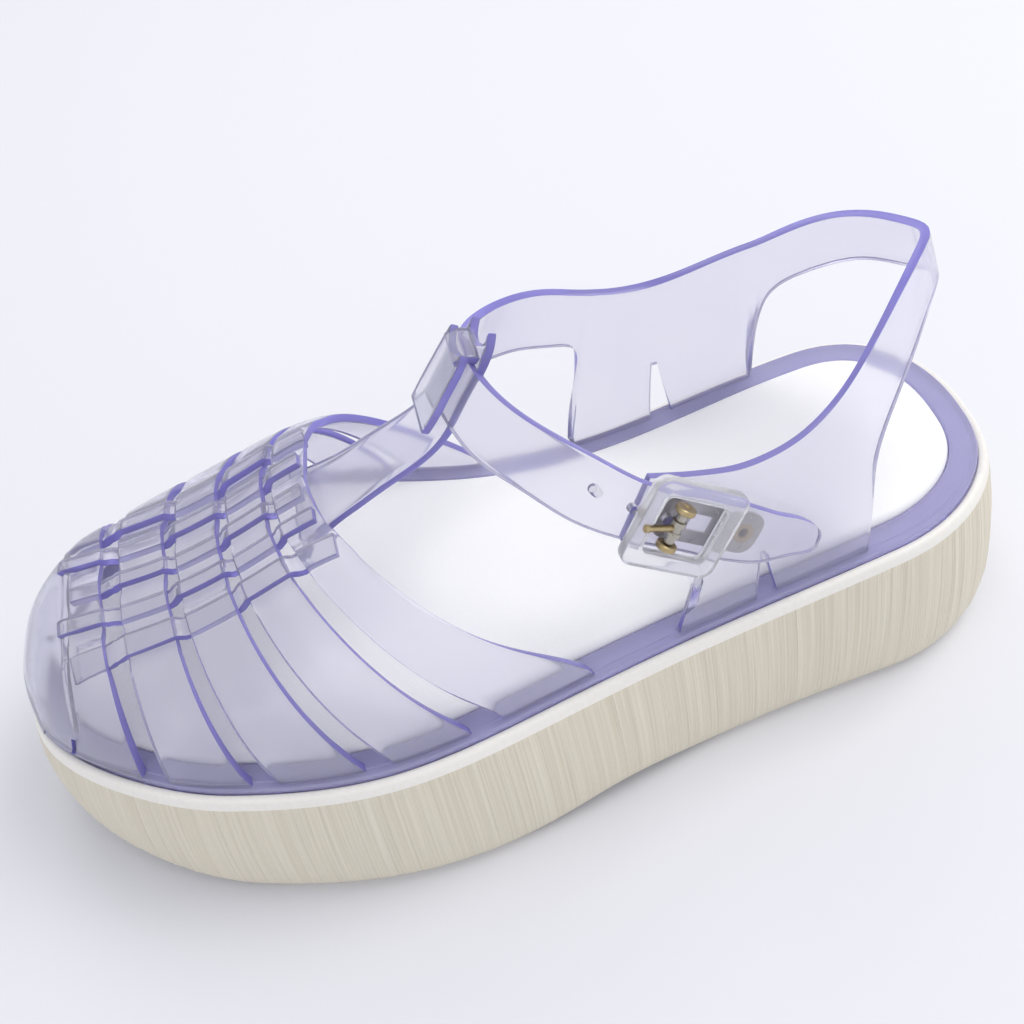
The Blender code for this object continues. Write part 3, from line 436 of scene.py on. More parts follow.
def new_piece(name, shape, material, slot, *nodes):
    """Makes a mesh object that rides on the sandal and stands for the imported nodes."""
    bmesh.ops.transform(shape, matrix=SHIFT, verts=shape.verts)
    mesh = bpy.data.meshes.new(name)
    shape.to_mesh(mesh)
    shape.free()
    made = bpy.data.objects.new(name, mesh)
    bpy.context.scene.collection.objects.link(made)
    mesh.materials.append(material)
    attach(made, "root")
    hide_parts(*nodes)
    return made


def settle(piece, angle=35.0):
    """Applies the modifiers and shades the piece smooth, with crisp edges where faces turn."""
    bpy.context.view_layer.update()
    depsgraph = bpy.context.evaluated_depsgraph_get()
    mesh = bpy.data.meshes.new_from_object(piece.evaluated_get(depsgraph))
    piece.modifiers.clear()
    piece.data = mesh
    mesh.shade_smooth()
    mesh.set_sharp_from_angle(angle=math.radians(angle))
    triangles = sum(len(face.vertices) - 2 for face in mesh.polygons)
    print(f"{piece.name}: {triangles} triangles")
    return piece


def cut_away(piece, name, shape):
    """Cuts a shape out of a piece with a Boolean, and gives the cutter, to be removed later."""
    mesh = bpy.data.meshes.new(name)
    shape.to_mesh(mesh)
    shape.free()
    cutter = bpy.data.objects.new(name, mesh)
    bpy.context.scene.collection.objects.link(cutter)
    cut = piece.modifiers.new(name, "BOOLEAN")
    cut.operation = "DIFFERENCE"
    cut.solver = "EXACT"
    cut.object = cutter
    return cutter


def round_edges(piece, width, segments=2):
    """Rounds the edges that turn by more than 40 degrees, as a mould's edges are."""
    rounding = piece.modifiers.new("edge rounding", "BEVEL")
    rounding.width = width
    rounding.segments = segments
    rounding.profile = 0.5
    rounding.limit_method = "ANGLE"
    rounding.angle_limit = math.radians(40.0)
    rounding.use_clamp_overlap = True


# %% [markdown]
# Each ring's edges are extruded, and the new points are moved to the next ring. The sole's two ends
# aren't flat, so one big face would crumple there. Each end gets strips from side to side
# instead, which run across the sole like the slats of a barrel lid.

# %% A body lofted from rings


def drawn_ring(shape, points):
    """A closed line through the points, and its edges."""
    verts = [shape.verts.new(point) for point in points]
    return verts, [shape.edges.new(pair) for pair in zip(verts, verts[1:] + verts[:1])]


def pulled_up(shape, verts, edges, points):
    """Extrudes a ring of edges and moves the new ring to the points."""
    place_of = {vert: i for i, vert in enumerate(verts)}
    made = bmesh.ops.extrude_edge_only(shape, edges=edges)["geom"]
    fresh = [None] * len(verts)
    for vert in (g for g in made if isinstance(g, bmesh.types.BMVert)):
        below = next(e.other_vert(vert) for e in vert.link_edges if e.other_vert(vert) in place_of)
        fresh[place_of[below]] = vert
    for vert, point in zip(fresh, points):
        vert.co = point
    links = zip(fresh, fresh[1:] + fresh[:1])
    return fresh, [next(e for e in a.link_edges if e.other_vert(a) is b) for a, b in links]


def close_end(shape, row):
    """Closes a ring with strips that join the two sides of the outline."""
    count = len(row)
    for i in range(count // 2):
        corners = (row[i], row[i + 1], row[(count - i - 1) % count], row[(count - i) % count])
        shape.faces.new(list(dict.fromkeys(corners)))


def loft(rings, girth=None):
    """A closed body through the rings. girth is each point's distance round the wall."""
    shape = bmesh.new()
    measure = shape.verts.layers.float.new("girth")
    verts, edges = drawn_ring(shape, rings[0])
    rounds = [verts]
    for points in rings[1:]:
        verts, edges = pulled_up(shape, verts, edges, points)
        rounds.append(verts)
    if girth is not None:
        for row in rounds:
            for vert, distance in zip(row, girth):
                vert[measure] = distance
    close_end(shape, rounds[0])
    close_end(shape, rounds[-1])
    bmesh.ops.recalc_face_normals(shape, faces=shape.faces)
    return shape


def closed_band(rings):
    """A body with an opening through it: pulled from ring to ring, and at last back to the first."""
    shape = bmesh.new()
    verts, edges = drawn_ring(shape, rings[0])
    for points in rings[1:] + rings[:1]:
        verts, edges = pulled_up(shape, verts, edges, points)
    bmesh.ops.remove_doubles(shape, verts=shape.verts, dist=0.001 * MM)
    bmesh.ops.recalc_face_normals(shape, faces=shape.faces)
    return shape


print("two ways to use rings: loft closes both ends, closed_band leaves the middle open")

# %% [markdown]
# A strap could be drawn as a solid. A sheet is easier to lay on a curved surface, and Solidify
# then gives it the same thickness everywhere, as the mould's gap does. Its rim takes the second
# material, which paints every edge a deeper violet: a painted glow.

# %% Moulded sheets


def laid_sheet(columns, rows, lay, outward, skip=None):
    """A flat grid whose points are laid on a surface. lay and skip read shares across and along.

    outward gives the direction that the outer face looks in at a point.
    """
    shape = bmesh.new()
    bmesh.ops.create_grid(shape, x_segments=columns, y_segments=rows, size=0.5)
    if skip is not None:
        centres = [(face, face.calc_center_median()) for face in shape.faces]
        gone = [face for face, centre in centres if skip(centre.x + 0.5, centre.y + 0.5)]
        bmesh.ops.delete(shape, geom=gone, context="FACES")
    for vert in shape.verts:
        vert.co = lay(vert.co.x + 0.5, vert.co.y + 0.5)
    bmesh.ops.remove_doubles(shape, verts=shape.verts, dist=0.02 * MM)
    shape.normal_update()
    facing = sum(face.normal.dot(outward(face.calc_center_median())) for face in shape.faces)
    if facing < 0.0:
        bmesh.ops.reverse_faces(shape, faces=shape.faces)
    return shape


STRAP_EDGE = 0.45 * MM


def moulded(name, shape):
    """A sheet of clear PVC with its wall and rounded edges."""
    piece = new_piece(name, shape, clear_pvc, "clear_pvc", "upper")
    piece.data.materials.append(pvc_painted_edge_glow)
    shell = piece.modifiers.new("wall", "SOLIDIFY")
    shell.thickness = WALL
    shell.offset = -1.0
    # The rim faces take the violet edge material, a painted glow.
    shell.material_offset_rim = 1
    round_edges(piece, STRAP_EDGE)
    return piece


print("walls of the straps in mm:", round(WALL / MM, 1))

# %% [markdown]
# ## Camera, floor and light
# The photo was taken from the outer side, well above the sandal, with the camera tipped a little.
# The camera here has the same place, tilt and field of view. Its turn is built from three
# directions, right, up and back, because Euler angles would hide what the roll does.

# %% Camera
azimuth, elevation, roll = (math.radians(v) for v in (85.0, 48.87, -10.82))
CAMERA_PLACE = (212.35, -14.08, 302.20)
FOCAL_PIXELS = 1272.9
PICTURE_PIXELS = 1024.0
level = Vector((math.cos(azimuth), math.sin(azimuth), 0.0))
back = Vector((level.y * math.cos(elevation), -level.x * math.cos(elevation), math.sin(elevation)))
upright = back.cross(level)
right = level * math.cos(roll) + upright * math.sin(roll)
above = upright * math.cos(roll) - level * math.sin(roll)
camera = bpy.data.objects.new("camera", bpy.data.cameras.new("camera"))
bpy.context.scene.collection.objects.link(camera)
camera.data.sensor_width = 36.0
camera.data.lens = FOCAL_PIXELS / PICTURE_PIXELS * camera.data.sensor_width
turn = Matrix((right, above, back)).transposed().to_4x4()
camera.matrix_world = SHIFT @ Matrix.Translation(Vector(CAMERA_PLACE) * MM) @ turn
camera.data.clip_start = 0.01
bpy.context.scene.camera = camera
print("lens in mm:", round(camera.data.lens, 2))

# %% [markdown]
# The sandal stands on pale studio paper. It runs 3 m every way, so that it fills the picture and
# the clear plastic has nothing else behind it.

# %% Floor
shape = bmesh.new()
bmesh.ops.create_grid(shape, x_segments=2, y_segments=2, size=3.0)
mesh = bpy.data.meshes.new("floor")
shape.to_mesh(mesh)
shape.free()
floor = bpy.data.objects.new("floor", mesh)
bpy.context.scene.collection.objects.link(floor)
floor_paper, tree, shader = new_material("pale_studio_paper")
shader.inputs["Base Color"].default_value = hex_colour("#E5E6EC")
shader.inputs["Roughness"].default_value = 0.55
mesh.materials.append(floor_paper)
floor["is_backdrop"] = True
print("floor:", len(mesh.polygons), "faces")

# %% [markdown]
# Clear plastic shows what stands round it more than what shines on it. So most of the light is a
# pale, even surround, and three soft boxes only add the highlights and a soft shadow. Each row
# is a box's name, its place in metres, its size and its power in watts.

# %% Light
world = bpy.data.worlds.new("studio")
bpy.context.scene.world = world
world.use_nodes = True
world.node_tree.nodes["Background"].inputs["Color"].default_value = hex_colour("#F2F3F9")
world.node_tree.nodes["Background"].inputs["Strength"].default_value = 0.84
# The standard view shows the hex colours as they were picked.
bpy.context.scene.view_settings.view_transform = "Standard"
SOFT_BOXES = (
    ("key", (-0.15, 0.8, 1.2), 0.8, 8.5),
    ("fill", (0.9, -0.9, 0.8), 0.7, 0.8),
    ("rim", (-1.0, -0.2, 0.9), 0.6, 1.6),
)
for name, spot, size, power in SOFT_BOXES:
    lamp = bpy.data.lights.new(name, "AREA")
    lamp.size = size
    lamp.energy = power
    lamp.color = hex_colour("#FFFDF8")[:3]
    box_light = bpy.data.objects.new(name, lamp)
    bpy.context.scene.collection.objects.link(box_light)
    box_light.location = spot
    box_light.rotation_mode = "QUATERNION"
    aim = Vector((0.0, 0.0, 0.03)) - Vector(spot)
    box_light.rotation_quaternion = aim.to_track_quat("-Z", "Y")
print("soft boxes:", ", ".join(name for name, _, _, _ in SOFT_BOXES))

# %% [markdown]
# ## The sole
# The platform is foamed in a two-part mould. Its wall flares towards the ground, has a rounded
# foot and a smooth band on top, and the mould's grain runs straight up the wall. The grain could
# be a bump only. It is made as real grooves too, from a noise that is long in height and narrow
# along the wall, so that it catches the light and shows in the outline.

# %% Grain of the wall
SOLE_POINTS = 600
GRAIN_DEPTH = 0.45 * MM
LIP_HEIGHT = 2.7 * MM


def smooth_step(low, high, value):
    """Rises softly from 0 at low to 1 at high."""
    share = min(max((value - low) / (high - low), 0.0), 1.0)
    return share * share * (3.0 - 2.0 * share)


def grain_depth(distance, z, at):
    """Depth of the wall's upright grooves: two noises, long in height and narrow along the wall."""
    wide = noise.noise(Vector((distance / (1.7 * MM), 0.0, z / (60 * MM))))
    narrow = noise.noise(Vector((distance / (1.1 * MM), 3.0, z / (35 * MM) + 7.0)))
    groove = max(0.0, 0.5 + 1.1 * wide) * 0.6 + max(0.0, 0.4 + 1.2 * narrow) * 0.4
    ends = smooth_step(0.03, 0.16, at) * (1.0 - 0.5 * smooth_step(0.93, 1.0, at))
    return GRAIN_DEPTH * groove * (0.25 + 0.75 * ends)


stations, rim_points, rim_inward = outline(SOLE_POINTS)
steps = np.hypot(*(rim_points - np.roll(rim_points, 1, axis=0)).T)
girth_of = np.cumsum(steps) - steps[0]
print("round the sole in mm:", round(float(girth_of[-1]) / MM))
print("a column every mm:", round(float(steps.mean()) / MM, 2))

# %% [markdown]
# The platform is one loft. Its rings follow the flare from the ground to the lip, closer together
# at the rounded foot, then turn over the lip's edge and go down into the seat for the flange.

# %% Sole
flare = wall_flare(stations) * BALL_WIDTH
FOOT_LEVELS = [0.0, 0.02, 0.05, 0.085, 0.12, 0.16]
UPPER_LEVELS = [0.16 + 0.84 * i / 15 for i in range(1, 16)]
WALL_END = 0.92
rings = []
for share in FOOT_LEVELS + UPPER_LEVELS:
    stand = wall_stand(WALL_END * share, flare)
    points = ring(
        SOLE_POINTS, -stand,
        lambda at: ground(at) * (1 - share) + (edge_height(at) - LIP_HEIGHT) * share,
    )
    window = smooth_step(0.05, 0.14, share) * (1.0 - smooth_step(0.97, 1.0, share))
    for i, (x, y, z) in enumerate(points):
        points[i, :2] += rim_inward[i] * grain_depth(girth_of[i], z, stations[i]) * window
    rings.append(points)
for drop in (2.0, 1.1):
    share = 1.0 - drop * MM / SOLE_HEIGHT
    rings.append(ring(SOLE_POINTS, -wall_stand(share, flare), lambda at: edge_height(at) - drop * MM))
rings.append(ring(SOLE_POINTS, 0.0, lambda at: edge_height(at) - 0.5 * MM))
rings.append(ring(SOLE_POINTS, 0.45 * MM, edge_height))
rings.append(ring(SOLE_POINTS, LIP_WIDTH - 0.3 * MM, edge_height))
rings.append(ring(SOLE_POINTS, LIP_WIDTH, lambda at: edge_height(at) - 0.3 * MM))
rings.append(ring(SOLE_POINTS, LIP_WIDTH, lambda at: edge_height(at) - SEAT_DEPTH))
shape = loft(rings, girth_of)
# Faces of the lip take the whiter foam, painted light for its top.
for face in shape.faces:
    spot = face.calc_center_median()
    at = min(max(spot.y / SOLE_LENGTH + 0.5, 0.0), 1.0)
    face.material_index = 1 if spot.z > float(edge_height(at)) - LIP_HEIGHT else 0
sole = new_piece("foam_sole", shape, eva_foam, "moulded_foam", "sole")
sole.data.materials.append(eva_lip_painted_light)
print("rings in the sole:", len(rings))

# %% [markdown]
# A sole needs grip, so plain grooves run across it under ball and heel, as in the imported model.
# The mould has a bar for each groove; here a cube stands for each bar and a Boolean cuts them all.

# %% Tread
GROOVES = (0.28, 0.31, 0.34, 0.37, 0.40, 0.43, 0.68, 0.73, 0.78, 0.83)
TREAD_MARGIN = 13 * MM
TREAD_WIDTH = 3 * MM
TREAD_DEPTH = 2 * MM
shape = bmesh.new()
for at in GROOVES:
    outer = float(outer_side(at)) * BALL_WIDTH - TREAD_MARGIN
    inner = float(inner_side(at)) * BALL_WIDTH - TREAD_MARGIN
    size = Matrix.Diagonal((outer + inner, TREAD_WIDTH, 2 * TREAD_DEPTH, 1.0))
    spot = Matrix.Translation(((outer - inner) / 2.0, float(along(at)), 0.0))
    bmesh.ops.create_cube(shape, size=1.0, matrix=SHIFT @ spot @ size)
tread = cut_away(sole, "tread", shape)
settle(sole, 50.0)
bpy.data.objects.remove(tread)

# %% [markdown]
# ## The footbed
# The footbed is a sheet of soft foam, cut to the seat and laid inside the upper's flange. Its
# edge is pressed round, so the last rings of the loft follow a quarter circle.

# %% Footbed
RING_STATIONS = 150
EDGE_ROUNDING = 2.2 * MM
ROUNDING_STEPS = 6
border = LIP_WIDTH + CLEAR + FLANGE_WIDTH + CLEAR
rings = [ring(RING_STATIONS, border, lambda at: edge_height(at) - SEAT_DEPTH + CLEAR)]
for i in range(ROUNDING_STEPS + 1):
    angle = math.pi / 2.0 * i / ROUNDING_STEPS
    inset = border + EDGE_ROUNDING * (1.0 - math.cos(angle))
    rise = INSOLE_PROUD - EDGE_ROUNDING * (1.0 - math.sin(angle))
    rings.append(ring(RING_STATIONS, inset, lambda at: edge_height(at) + rise))
footbed = new_piece("footbed", loft(rings), footbed_foam, "footbed_foam", "insole")
settle(footbed, 50.0)

# %% [markdown]
# ## The upper's flange
# All straps of the upper run into one flat band, which is glued into the seat of the sole. A
# shallow step runs round it, where the mould's two halves meet.

# %% Flange
# Its section, as inset and rise in mm from the top edge, goes up, over the step and down again.
FLANGE_SECTION = (
    (2.3, -1.4), (2.3, 1.2), (2.6, 1.6), (4.0, 1.65), (4.3, 2.0), (8.8, 2.0), (9.3, 1.6), (9.3, -1.4),
)
rings = []
for inset, rise in FLANGE_SECTION:
    rings.append(ring(RING_STATIONS, inset * MM, lambda at: edge_height(at) + rise * MM))
flange = new_piece("flange", closed_band(rings), pvc_flange, "clear_pvc", "upper")
settle(flange, 30.0)

# %% [markdown]
# ## The woven vamp
# The toe is a basket of five cross straps and five lengthwise strands. It is moulded, not woven,
# but each strand stands over or under the strap it meets, like real weaving. The surface is the
# last's: a cross section that is a rounded arch, wide and low at the toe, higher at the instep.

# %% Surface of the vamp
CROWN_AT = (0.07, 0.13, 0.20, 0.28, 0.36, 0.45, 0.56)
crown_rise = curve_through(CROWN_AT, (0.98, 0.93, 0.98, 1.22, 1.44, 1.34, 1.60))
TOE_LENGTH = 0.073


def vamp_frame(at):
    """Crown height, crown place and the two powers of the section at one station."""
    at = max(at, 0.002)
    toe_share = max(0.0, 1.0 - at / TOE_LENGTH)
    rise = float(crown_rise(max(at, TOE_LENGTH))) * VAMP_RISE * (1.0 - toe_share ** 1.6) ** (1.0 / 1.6)
    crown = -0.047 * BALL_WIDTH * float(end_round(np.array(at)))
    blend = min(at / 0.45, 1.0)
    return rise, crown, 3.20 + (2.42 - 3.20) * blend, 0.90 + (2.64 - 0.90) * blend


def vamp_point(at, way, lift=0.0):
    """Outer face of the vamp. way runs from -1, inner foot, over the crown to +1, outer foot."""
    rise, crown, side_power, crown_power = vamp_frame(at)
    foot = side_point(max(at, 0.002), 1 if way >= 0 else -1, STRAP_INSET, STRAP_ROOT)
    angle = abs(way) * math.pi / 2.0
    out = math.sin(angle) ** (2.0 / side_power)
    up = max(math.cos(angle), 0.0) ** (2.0 / crown_power)
    return Vector((crown + (foot.x - crown) * out, float(along(at)), foot.z + rise * up + lift))


def way_at(at, x):
    """The way value at which the vamp passes over a distance x from the centre line."""
    _, crown, side_power, _ = vamp_frame(at)
    side = 1 if x >= crown else -1
    foot = side_point(at, side, STRAP_INSET, STRAP_ROOT)
    share = min(max((x - crown) / (foot.x - crown), 0.0), 1.0)
    return side * math.asin(share ** (side_power / 2.0)) * 2.0 / math.pi


crowns = [round(vamp_frame(at)[0] / MM, 1) for at in (0.1, 0.3, 0.5)]
print("crown of the vamp above the edge in mm:", crowns)

# %% [markdown]
# The weave is a table of edges. Each cross strap has a front and a rear edge, drawn from the crown
# to the outer and inner foot. Where a strand crosses, one of the two is pushed out and the other
# in, by a soft step, so that the plastic seems to bend over its neighbour.

# %% Edges and lift of the weave
# Cross straps: stations of the front and rear edge on the crown and at the outer and inner foot.
CROSS_STRAPS = (
    (0.081, 0.046, 0.052, 0.116, 0.118, 0.118),
    (0.136, 0.144, 0.148, 0.180, 0.221, 0.219),
    (0.193, 0.247, 0.244, 0.237, 0.326, 0.316),
    (0.249, 0.352, 0.342, 0.288, 0.427, 0.412),
    (0.299, 0.459, 0.432, 0.334, 0.551, 0.513),
)
# Lengthwise strands, outer side first: middle and width in mm, and whether over the first strap.
STRANDS = ((16.3, 5.5, False), (6.5, 4.2, True), (-3.3, 4.0, False), (-13.3, 4.2, True), (-23.2, 5.5, False))
WEAVE_LIFT = 0.9 * MM
LAST_EDGE = 2 * len(CROSS_STRAPS) - 1


def edge_station(index, way):
    """Station of a cross strap's edge; even indices are front edges, odd ones rear edges."""
    row = CROSS_STRAPS[index // 2]
    top, outer, inner = row[:3] if index % 2 == 0 else row[3:]
    share = index / LAST_EDGE
    if way >= 0:
        return top + (outer - top) * way ** (1.45 + (1.26 - 1.45) * share)
    return top + (inner - top) * (-way) ** (1.45 + (1.85 - 1.45) * share)


def over(strap, strand):
    """True where the strand passes over the cross strap."""
    return STRANDS[strand][2] if strap % 2 == 0 else not STRANDS[strand][2]


def strap_lift(strap, x):
    """How far a cross strap is pushed out or in as it passes each strand."""
    lift = 0.0
    for strand, (centre, width, _) in enumerate(STRANDS):
        distance = abs(x / MM - centre) - width / 2.0
        share = 1.0 - smooth_step(0.3, 3.2, distance)
        lift += share * (-1.0 if over(strap, strand) else 1.0)
    return lift * WEAVE_LIFT


def outwards(point):
    """Away from the foot's axis, a line inside the shoe."""
    return Vector((point.x, 0.0, point.z - 0.045))


print("weave:", len(CROSS_STRAPS), "cross straps and", len(STRANDS), "strands")

# %% [markdown]
# Four of the cross straps are sheets of their own, laid on the vamp from foot to foot. At the
# feet they lie flat, because there they run into the flange.

# %% Cross straps
ARC_COLUMNS = 84
STRAP_ROWS = 8


def lay_strap(strap):
    """The function that lays one cross strap's grid on the vamp."""
    def lay(u, v):
        way = u * 2.0 - 1.0
        front = edge_station(strap * 2, way)
        at = front + (edge_station(strap * 2 + 1, way) - front) * v
        x = vamp_point(at, way).x
        return vamp_point(at, way, strap_lift(strap, x) * (1.0 if abs(way) < 0.9 else 0.0))
    return lay


for strap in range(1, len(CROSS_STRAPS)):
    sheet = laid_sheet(ARC_COLUMNS, STRAP_ROWS, lay_strap(strap), outwards)
    settle(moulded(f"cross_strap_{strap + 1}", sheet))

# %% [markdown]
# The toe cap and the first cross strap are one piece. A slot parts them low on both sides, and
# the cap closes down to the flange along the outline of the toe.

# %% Toe cap with the first strap
TOE_START = 0.014
CAP_COLUMNS, CAP_ROWS = 80, 40
CAP_STEP = 1.0 * MM
# Shares of the sheet, from the toe to the strap's rear edge: foot of the cap, and where it ends.
CAP_FOOT = 0.1
CAP_END = 0.75
toe_stations, toe_outline, toe_inward = outline(160)
toe_line = (toe_outline + toe_inward * STRAP_INSET)[toe_stations < 0.2]
toe_line = toe_line[np.argsort(toe_line[:, 0])]


def first_strap(way, v):
    """The first cross strap, as the last rows of the toe cap's sheet."""
    front = edge_station(0, way)
    at = front + (edge_station(1, way) - front) * (v - CAP_END) / (1.0 - CAP_END)
    fade = smooth_step(CAP_END, 0.85, v) * (1.0 if abs(way) < 0.6 else 0.0)
    return vamp_point(at, way, strap_lift(0, vamp_point(at, way).x) * fade)


def lay_toe_cap(u, v):
    """Lays the cap: up from the flange, over the toes and, past a small step, into the strap."""
    way = u * 2.0 - 1.0
    if v > CAP_END:
        return first_strap(way, v)
    if v < CAP_FOOT:
        start = vamp_point(TOE_START, way)
        foot_y = float(np.interp(start.x, toe_line[:, 0], toe_line[:, 1]))
        return Vector((start.x, foot_y, vamp_point(TOE_START, 1.0).z)).lerp(start, v / CAP_FOOT)
    step = 0.0
    if v < CAP_END - 0.01:
        step = -CAP_STEP * smooth_step(0.2, 0.6, v) * (1.0 - smooth_step(0.55, 0.75, abs(way)))
    share = (v - CAP_FOOT) / (CAP_END - CAP_FOOT)
    return vamp_point(TOE_START + (edge_station(0, way) - TOE_START) * share, way, step)


def toe_slot(u, v):
    """True inside the slot between cap and strap, low on both sides."""
    return 0.675 < v < CAP_END and 0.70 < abs(u * 2.0 - 1.0) < 0.925


settle(moulded("toe_cap", laid_sheet(CAP_COLUMNS, CAP_ROWS, lay_toe_cap, outwards, toe_slot)))

# %% [markdown]
# The strands run the other way, from the toe cap to the last cross strap. Each keeps its own
# distance from the middle and its own width, so its place on the arch is looked up from that
# distance. The middle strands are narrower than the outer ones.

# %% Lengthwise strands
STRAND_COLUMNS, STRAND_ROWS = 4, 64
STRAND_LAP = 0.006


def lay_strand(strand, start, stop):
    """The function that lays one strand's grid over and under the cross straps."""
    centre, width, _ = STRANDS[strand]

    def lay(u, v):
        at = start + (stop - start) * v
        x = (centre + (u - 0.5) * width) * MM
        way = way_at(at, x)
        lift = 0.0
        for strap in range(len(CROSS_STRAPS)):
            front = edge_station(strap * 2, way)
            rear = edge_station(strap * 2 + 1, way)
            distance = max(front - at, at - rear) * SOLE_LENGTH / MM
            share = 1.0 - smooth_step(0.2, 2.2, distance)
            lift += share * (1.0 if over(strap, strand) else -1.0)
        return vamp_point(at, way, lift * WEAVE_LIFT)
    return lay


for strand, (centre, _, over_first) in enumerate(STRANDS):
    lap = -STRAND_LAP if over_first else STRAND_LAP
    start = edge_station(0, way_at(0.1, centre * MM)) + lap
    stop = edge_station(LAST_EDGE, way_at(0.33, centre * MM)) - STRAND_LAP
    sheet = laid_sheet(STRAND_COLUMNS, STRAND_ROWS, lay_strand(strand, start, stop), outwards)
    settle(moulded(f"strand_{strand + 1}", sheet))

# %% [markdown]
# ## T-bar and loop
# The T-bar runs up the instep from the last cross strap. Its end folds over the ankle strap and
# is moulded back onto itself, which leaves the loop that the strap slides through. Two small
# horns stand up where the fold starts and ends.

# %% T-bar, flap and web
# Side view, one row a point: station and rise of the outer face, and half the width.
LOOP_MIDDLE = -0.018 * BALL_WIDTH
RIBBON_COLUMNS = 10
T_BAR = (
    (0.318, 0.570, 0.135), (0.327, 0.612, 0.120), (0.342, 0.652, 0.104), (0.372, 0.705, 0.091),
    (0.407, 0.775, 0.086), (0.442, 0.845, 0.082), (0.4585, 0.893, 0.078), (0.4735, 0.960, 0.073),
    (0.491, 1.078, 0.070), (0.508, 1.190, 0.067), (0.516, 1.250, 0.064), (0.520, 1.285, 0.060),
    (0.5245, 1.338, 0.048),
)
FLAP = (
    (0.4490, 0.940, 0.062), (0.4590, 1.003, 0.066), (0.4770, 1.122, 0.064), (0.4940, 1.235, 0.059),
    (0.4985, 1.268, 0.054),
)
WEB = ((0.517, 1.215, 0.050), (0.507, 1.243, 0.050), (0.490, 1.235, 0.050))


def ribbon(name, table, rows, crown, valley=0.0, slope=0.0):
    """A strip over the instep that follows a side view table.

    A valley shortens the middle of its end, and a slope shortens the inner side of it.
    """
    drawn = []
    for at, rise, half in table:
        drawn.append((float(along(at)), float(edge_height(at)) + rise * COLLAR_RISE, half * BALL_WIDTH))
    drawn = np.array(drawn)
    steps = np.hypot(np.diff(drawn[:, 0]), np.diff(drawn[:, 1]))
    length = np.concatenate([[0.0], np.cumsum(steps)])
    path = curve_through(length, drawn)

    def lay(u, v):
        across = u * 2.0 - 1.0
        cut = valley * (1.0 - across * across) + slope * max(0.0, -across)
        y, z, half = path(np.array(v * (length[-1] - cut)))
        return Vector((LOOP_MIDDLE + across * half, y, z - crown * half * across * across))

    sheet = laid_sheet(RIBBON_COLUMNS, rows, lay, lambda point: Vector((0.0, -0.4, 1.0)))
    return settle(moulded(name, sheet))


ribbon("t_bar", T_BAR, 60, 0.06, 7.0 * MM, 4.5 * MM)
ribbon("loop_flap", FLAP, 24, 0.05, 3.0 * MM)
ribbon("loop_web", WEB, 8, 0.05)

# %% [markdown]
# ## Quarters, heel strap and ankle strap
# Seen from above this is one long band: it starts at the outer quarter, turns round the heel,
# passes the inner quarter, crosses the instep through the loop and ends in the buckle. Each row
# of the table is an upright section of it, with its top and its lower end.

# %% Sections of the band
# Each row: top side, station and rise; low side, station and rise. Sides are in shares of
# HEEL_WIDTH, rises in shares of COLLAR_RISE. A low side of None ends on the flange.
BACK = (
    (0.400, 0.628, 0.859, 0.447, 0.595, 0.610),
    (0.401, 0.641, 0.840, 0.455, 0.622, 0.490),
    (0.402, 0.658, 0.816, 0.463, 0.645, 0.375),
    (0.398, 0.684, 0.778, 0.477, 0.656, 0.246),
    (0.390, 0.711, 0.744, None, 0.640, 0.0),
    (0.384, 0.721, 0.735, None, 0.719, 0.0),
    (0.378, 0.729, 0.729, None, 0.742, 0.0),
    (0.308, 0.785, 0.705, None, 0.835, 0.0),
    (0.244, 0.822, 0.753, 0.396, 0.839, 0.254),
    (0.186, 0.849, 0.828, 0.327, 0.849, 0.440),
    (0.124, 0.874, 0.905, 0.227, 0.876, 0.570),
    (0.051, 0.901, 0.983, 0.100, 0.912, 0.698),
    (-0.019, 0.924, 1.026, -0.013, 0.940, 0.767),
    (-0.103, 0.940, 1.033, -0.109, 0.957, 0.784),
    (-0.192, 0.930, 1.019, -0.213, 0.949, 0.740),
    (-0.282, 0.911, 0.997, -0.338, 0.917, 0.710),
    (-0.367, 0.880, 0.960, -0.423, 0.872, 0.638),
    (-0.417, 0.841, 0.905, -0.481, 0.833, 0.510),
    (-0.440, 0.814, 0.860, -0.487, 0.814, 0.260),
    (-0.449, 0.795, 0.845, None, 0.808, 0.0),
    (-0.468, 0.725, 0.793, None, 0.718, 0.0),
    (-0.465, 0.694, 0.800, None, 0.692, 0.0),
    (-0.458, 0.655, 0.840, None, 0.606, 0.0),
    (-0.456, 0.649, 0.850, -0.433, 0.624, 0.440),
    (-0.453, 0.642, 0.862, -0.435, 0.622, 0.545),
    (-0.442, 0.609, 0.924, -0.426, 0.600, 0.597),
    (-0.403, 0.575, 0.990, -0.396, 0.556, 0.680),
    (-0.340, 0.543, 1.040, -0.345, 0.519, 0.745),
    (-0.256, 0.519, 1.090, -0.267, 0.490, 0.830),
    (-0.160, 0.506, 1.150, -0.160, 0.473, 0.905),
    (-0.058, 0.502, 1.210, -0.051, 0.467, 0.980),
    (0.051, 0.504, 1.200, 0.051, 0.471, 0.985),
    (0.154, 0.519, 1.135, 0.180, 0.488, 0.893),
    (0.244, 0.548, 1.040, 0.276, 0.519, 0.798),
    (0.346, 0.585, 0.965, 0.404, 0.556, 0.730),
)
print("sections of the band:", len(BACK))

# %% [markdown]
# Up to here the sections are places on the foot. At the buckle the strap lies flat, so its last
# sections are drawn in the buckle's own axes and turned into place by one matrix.

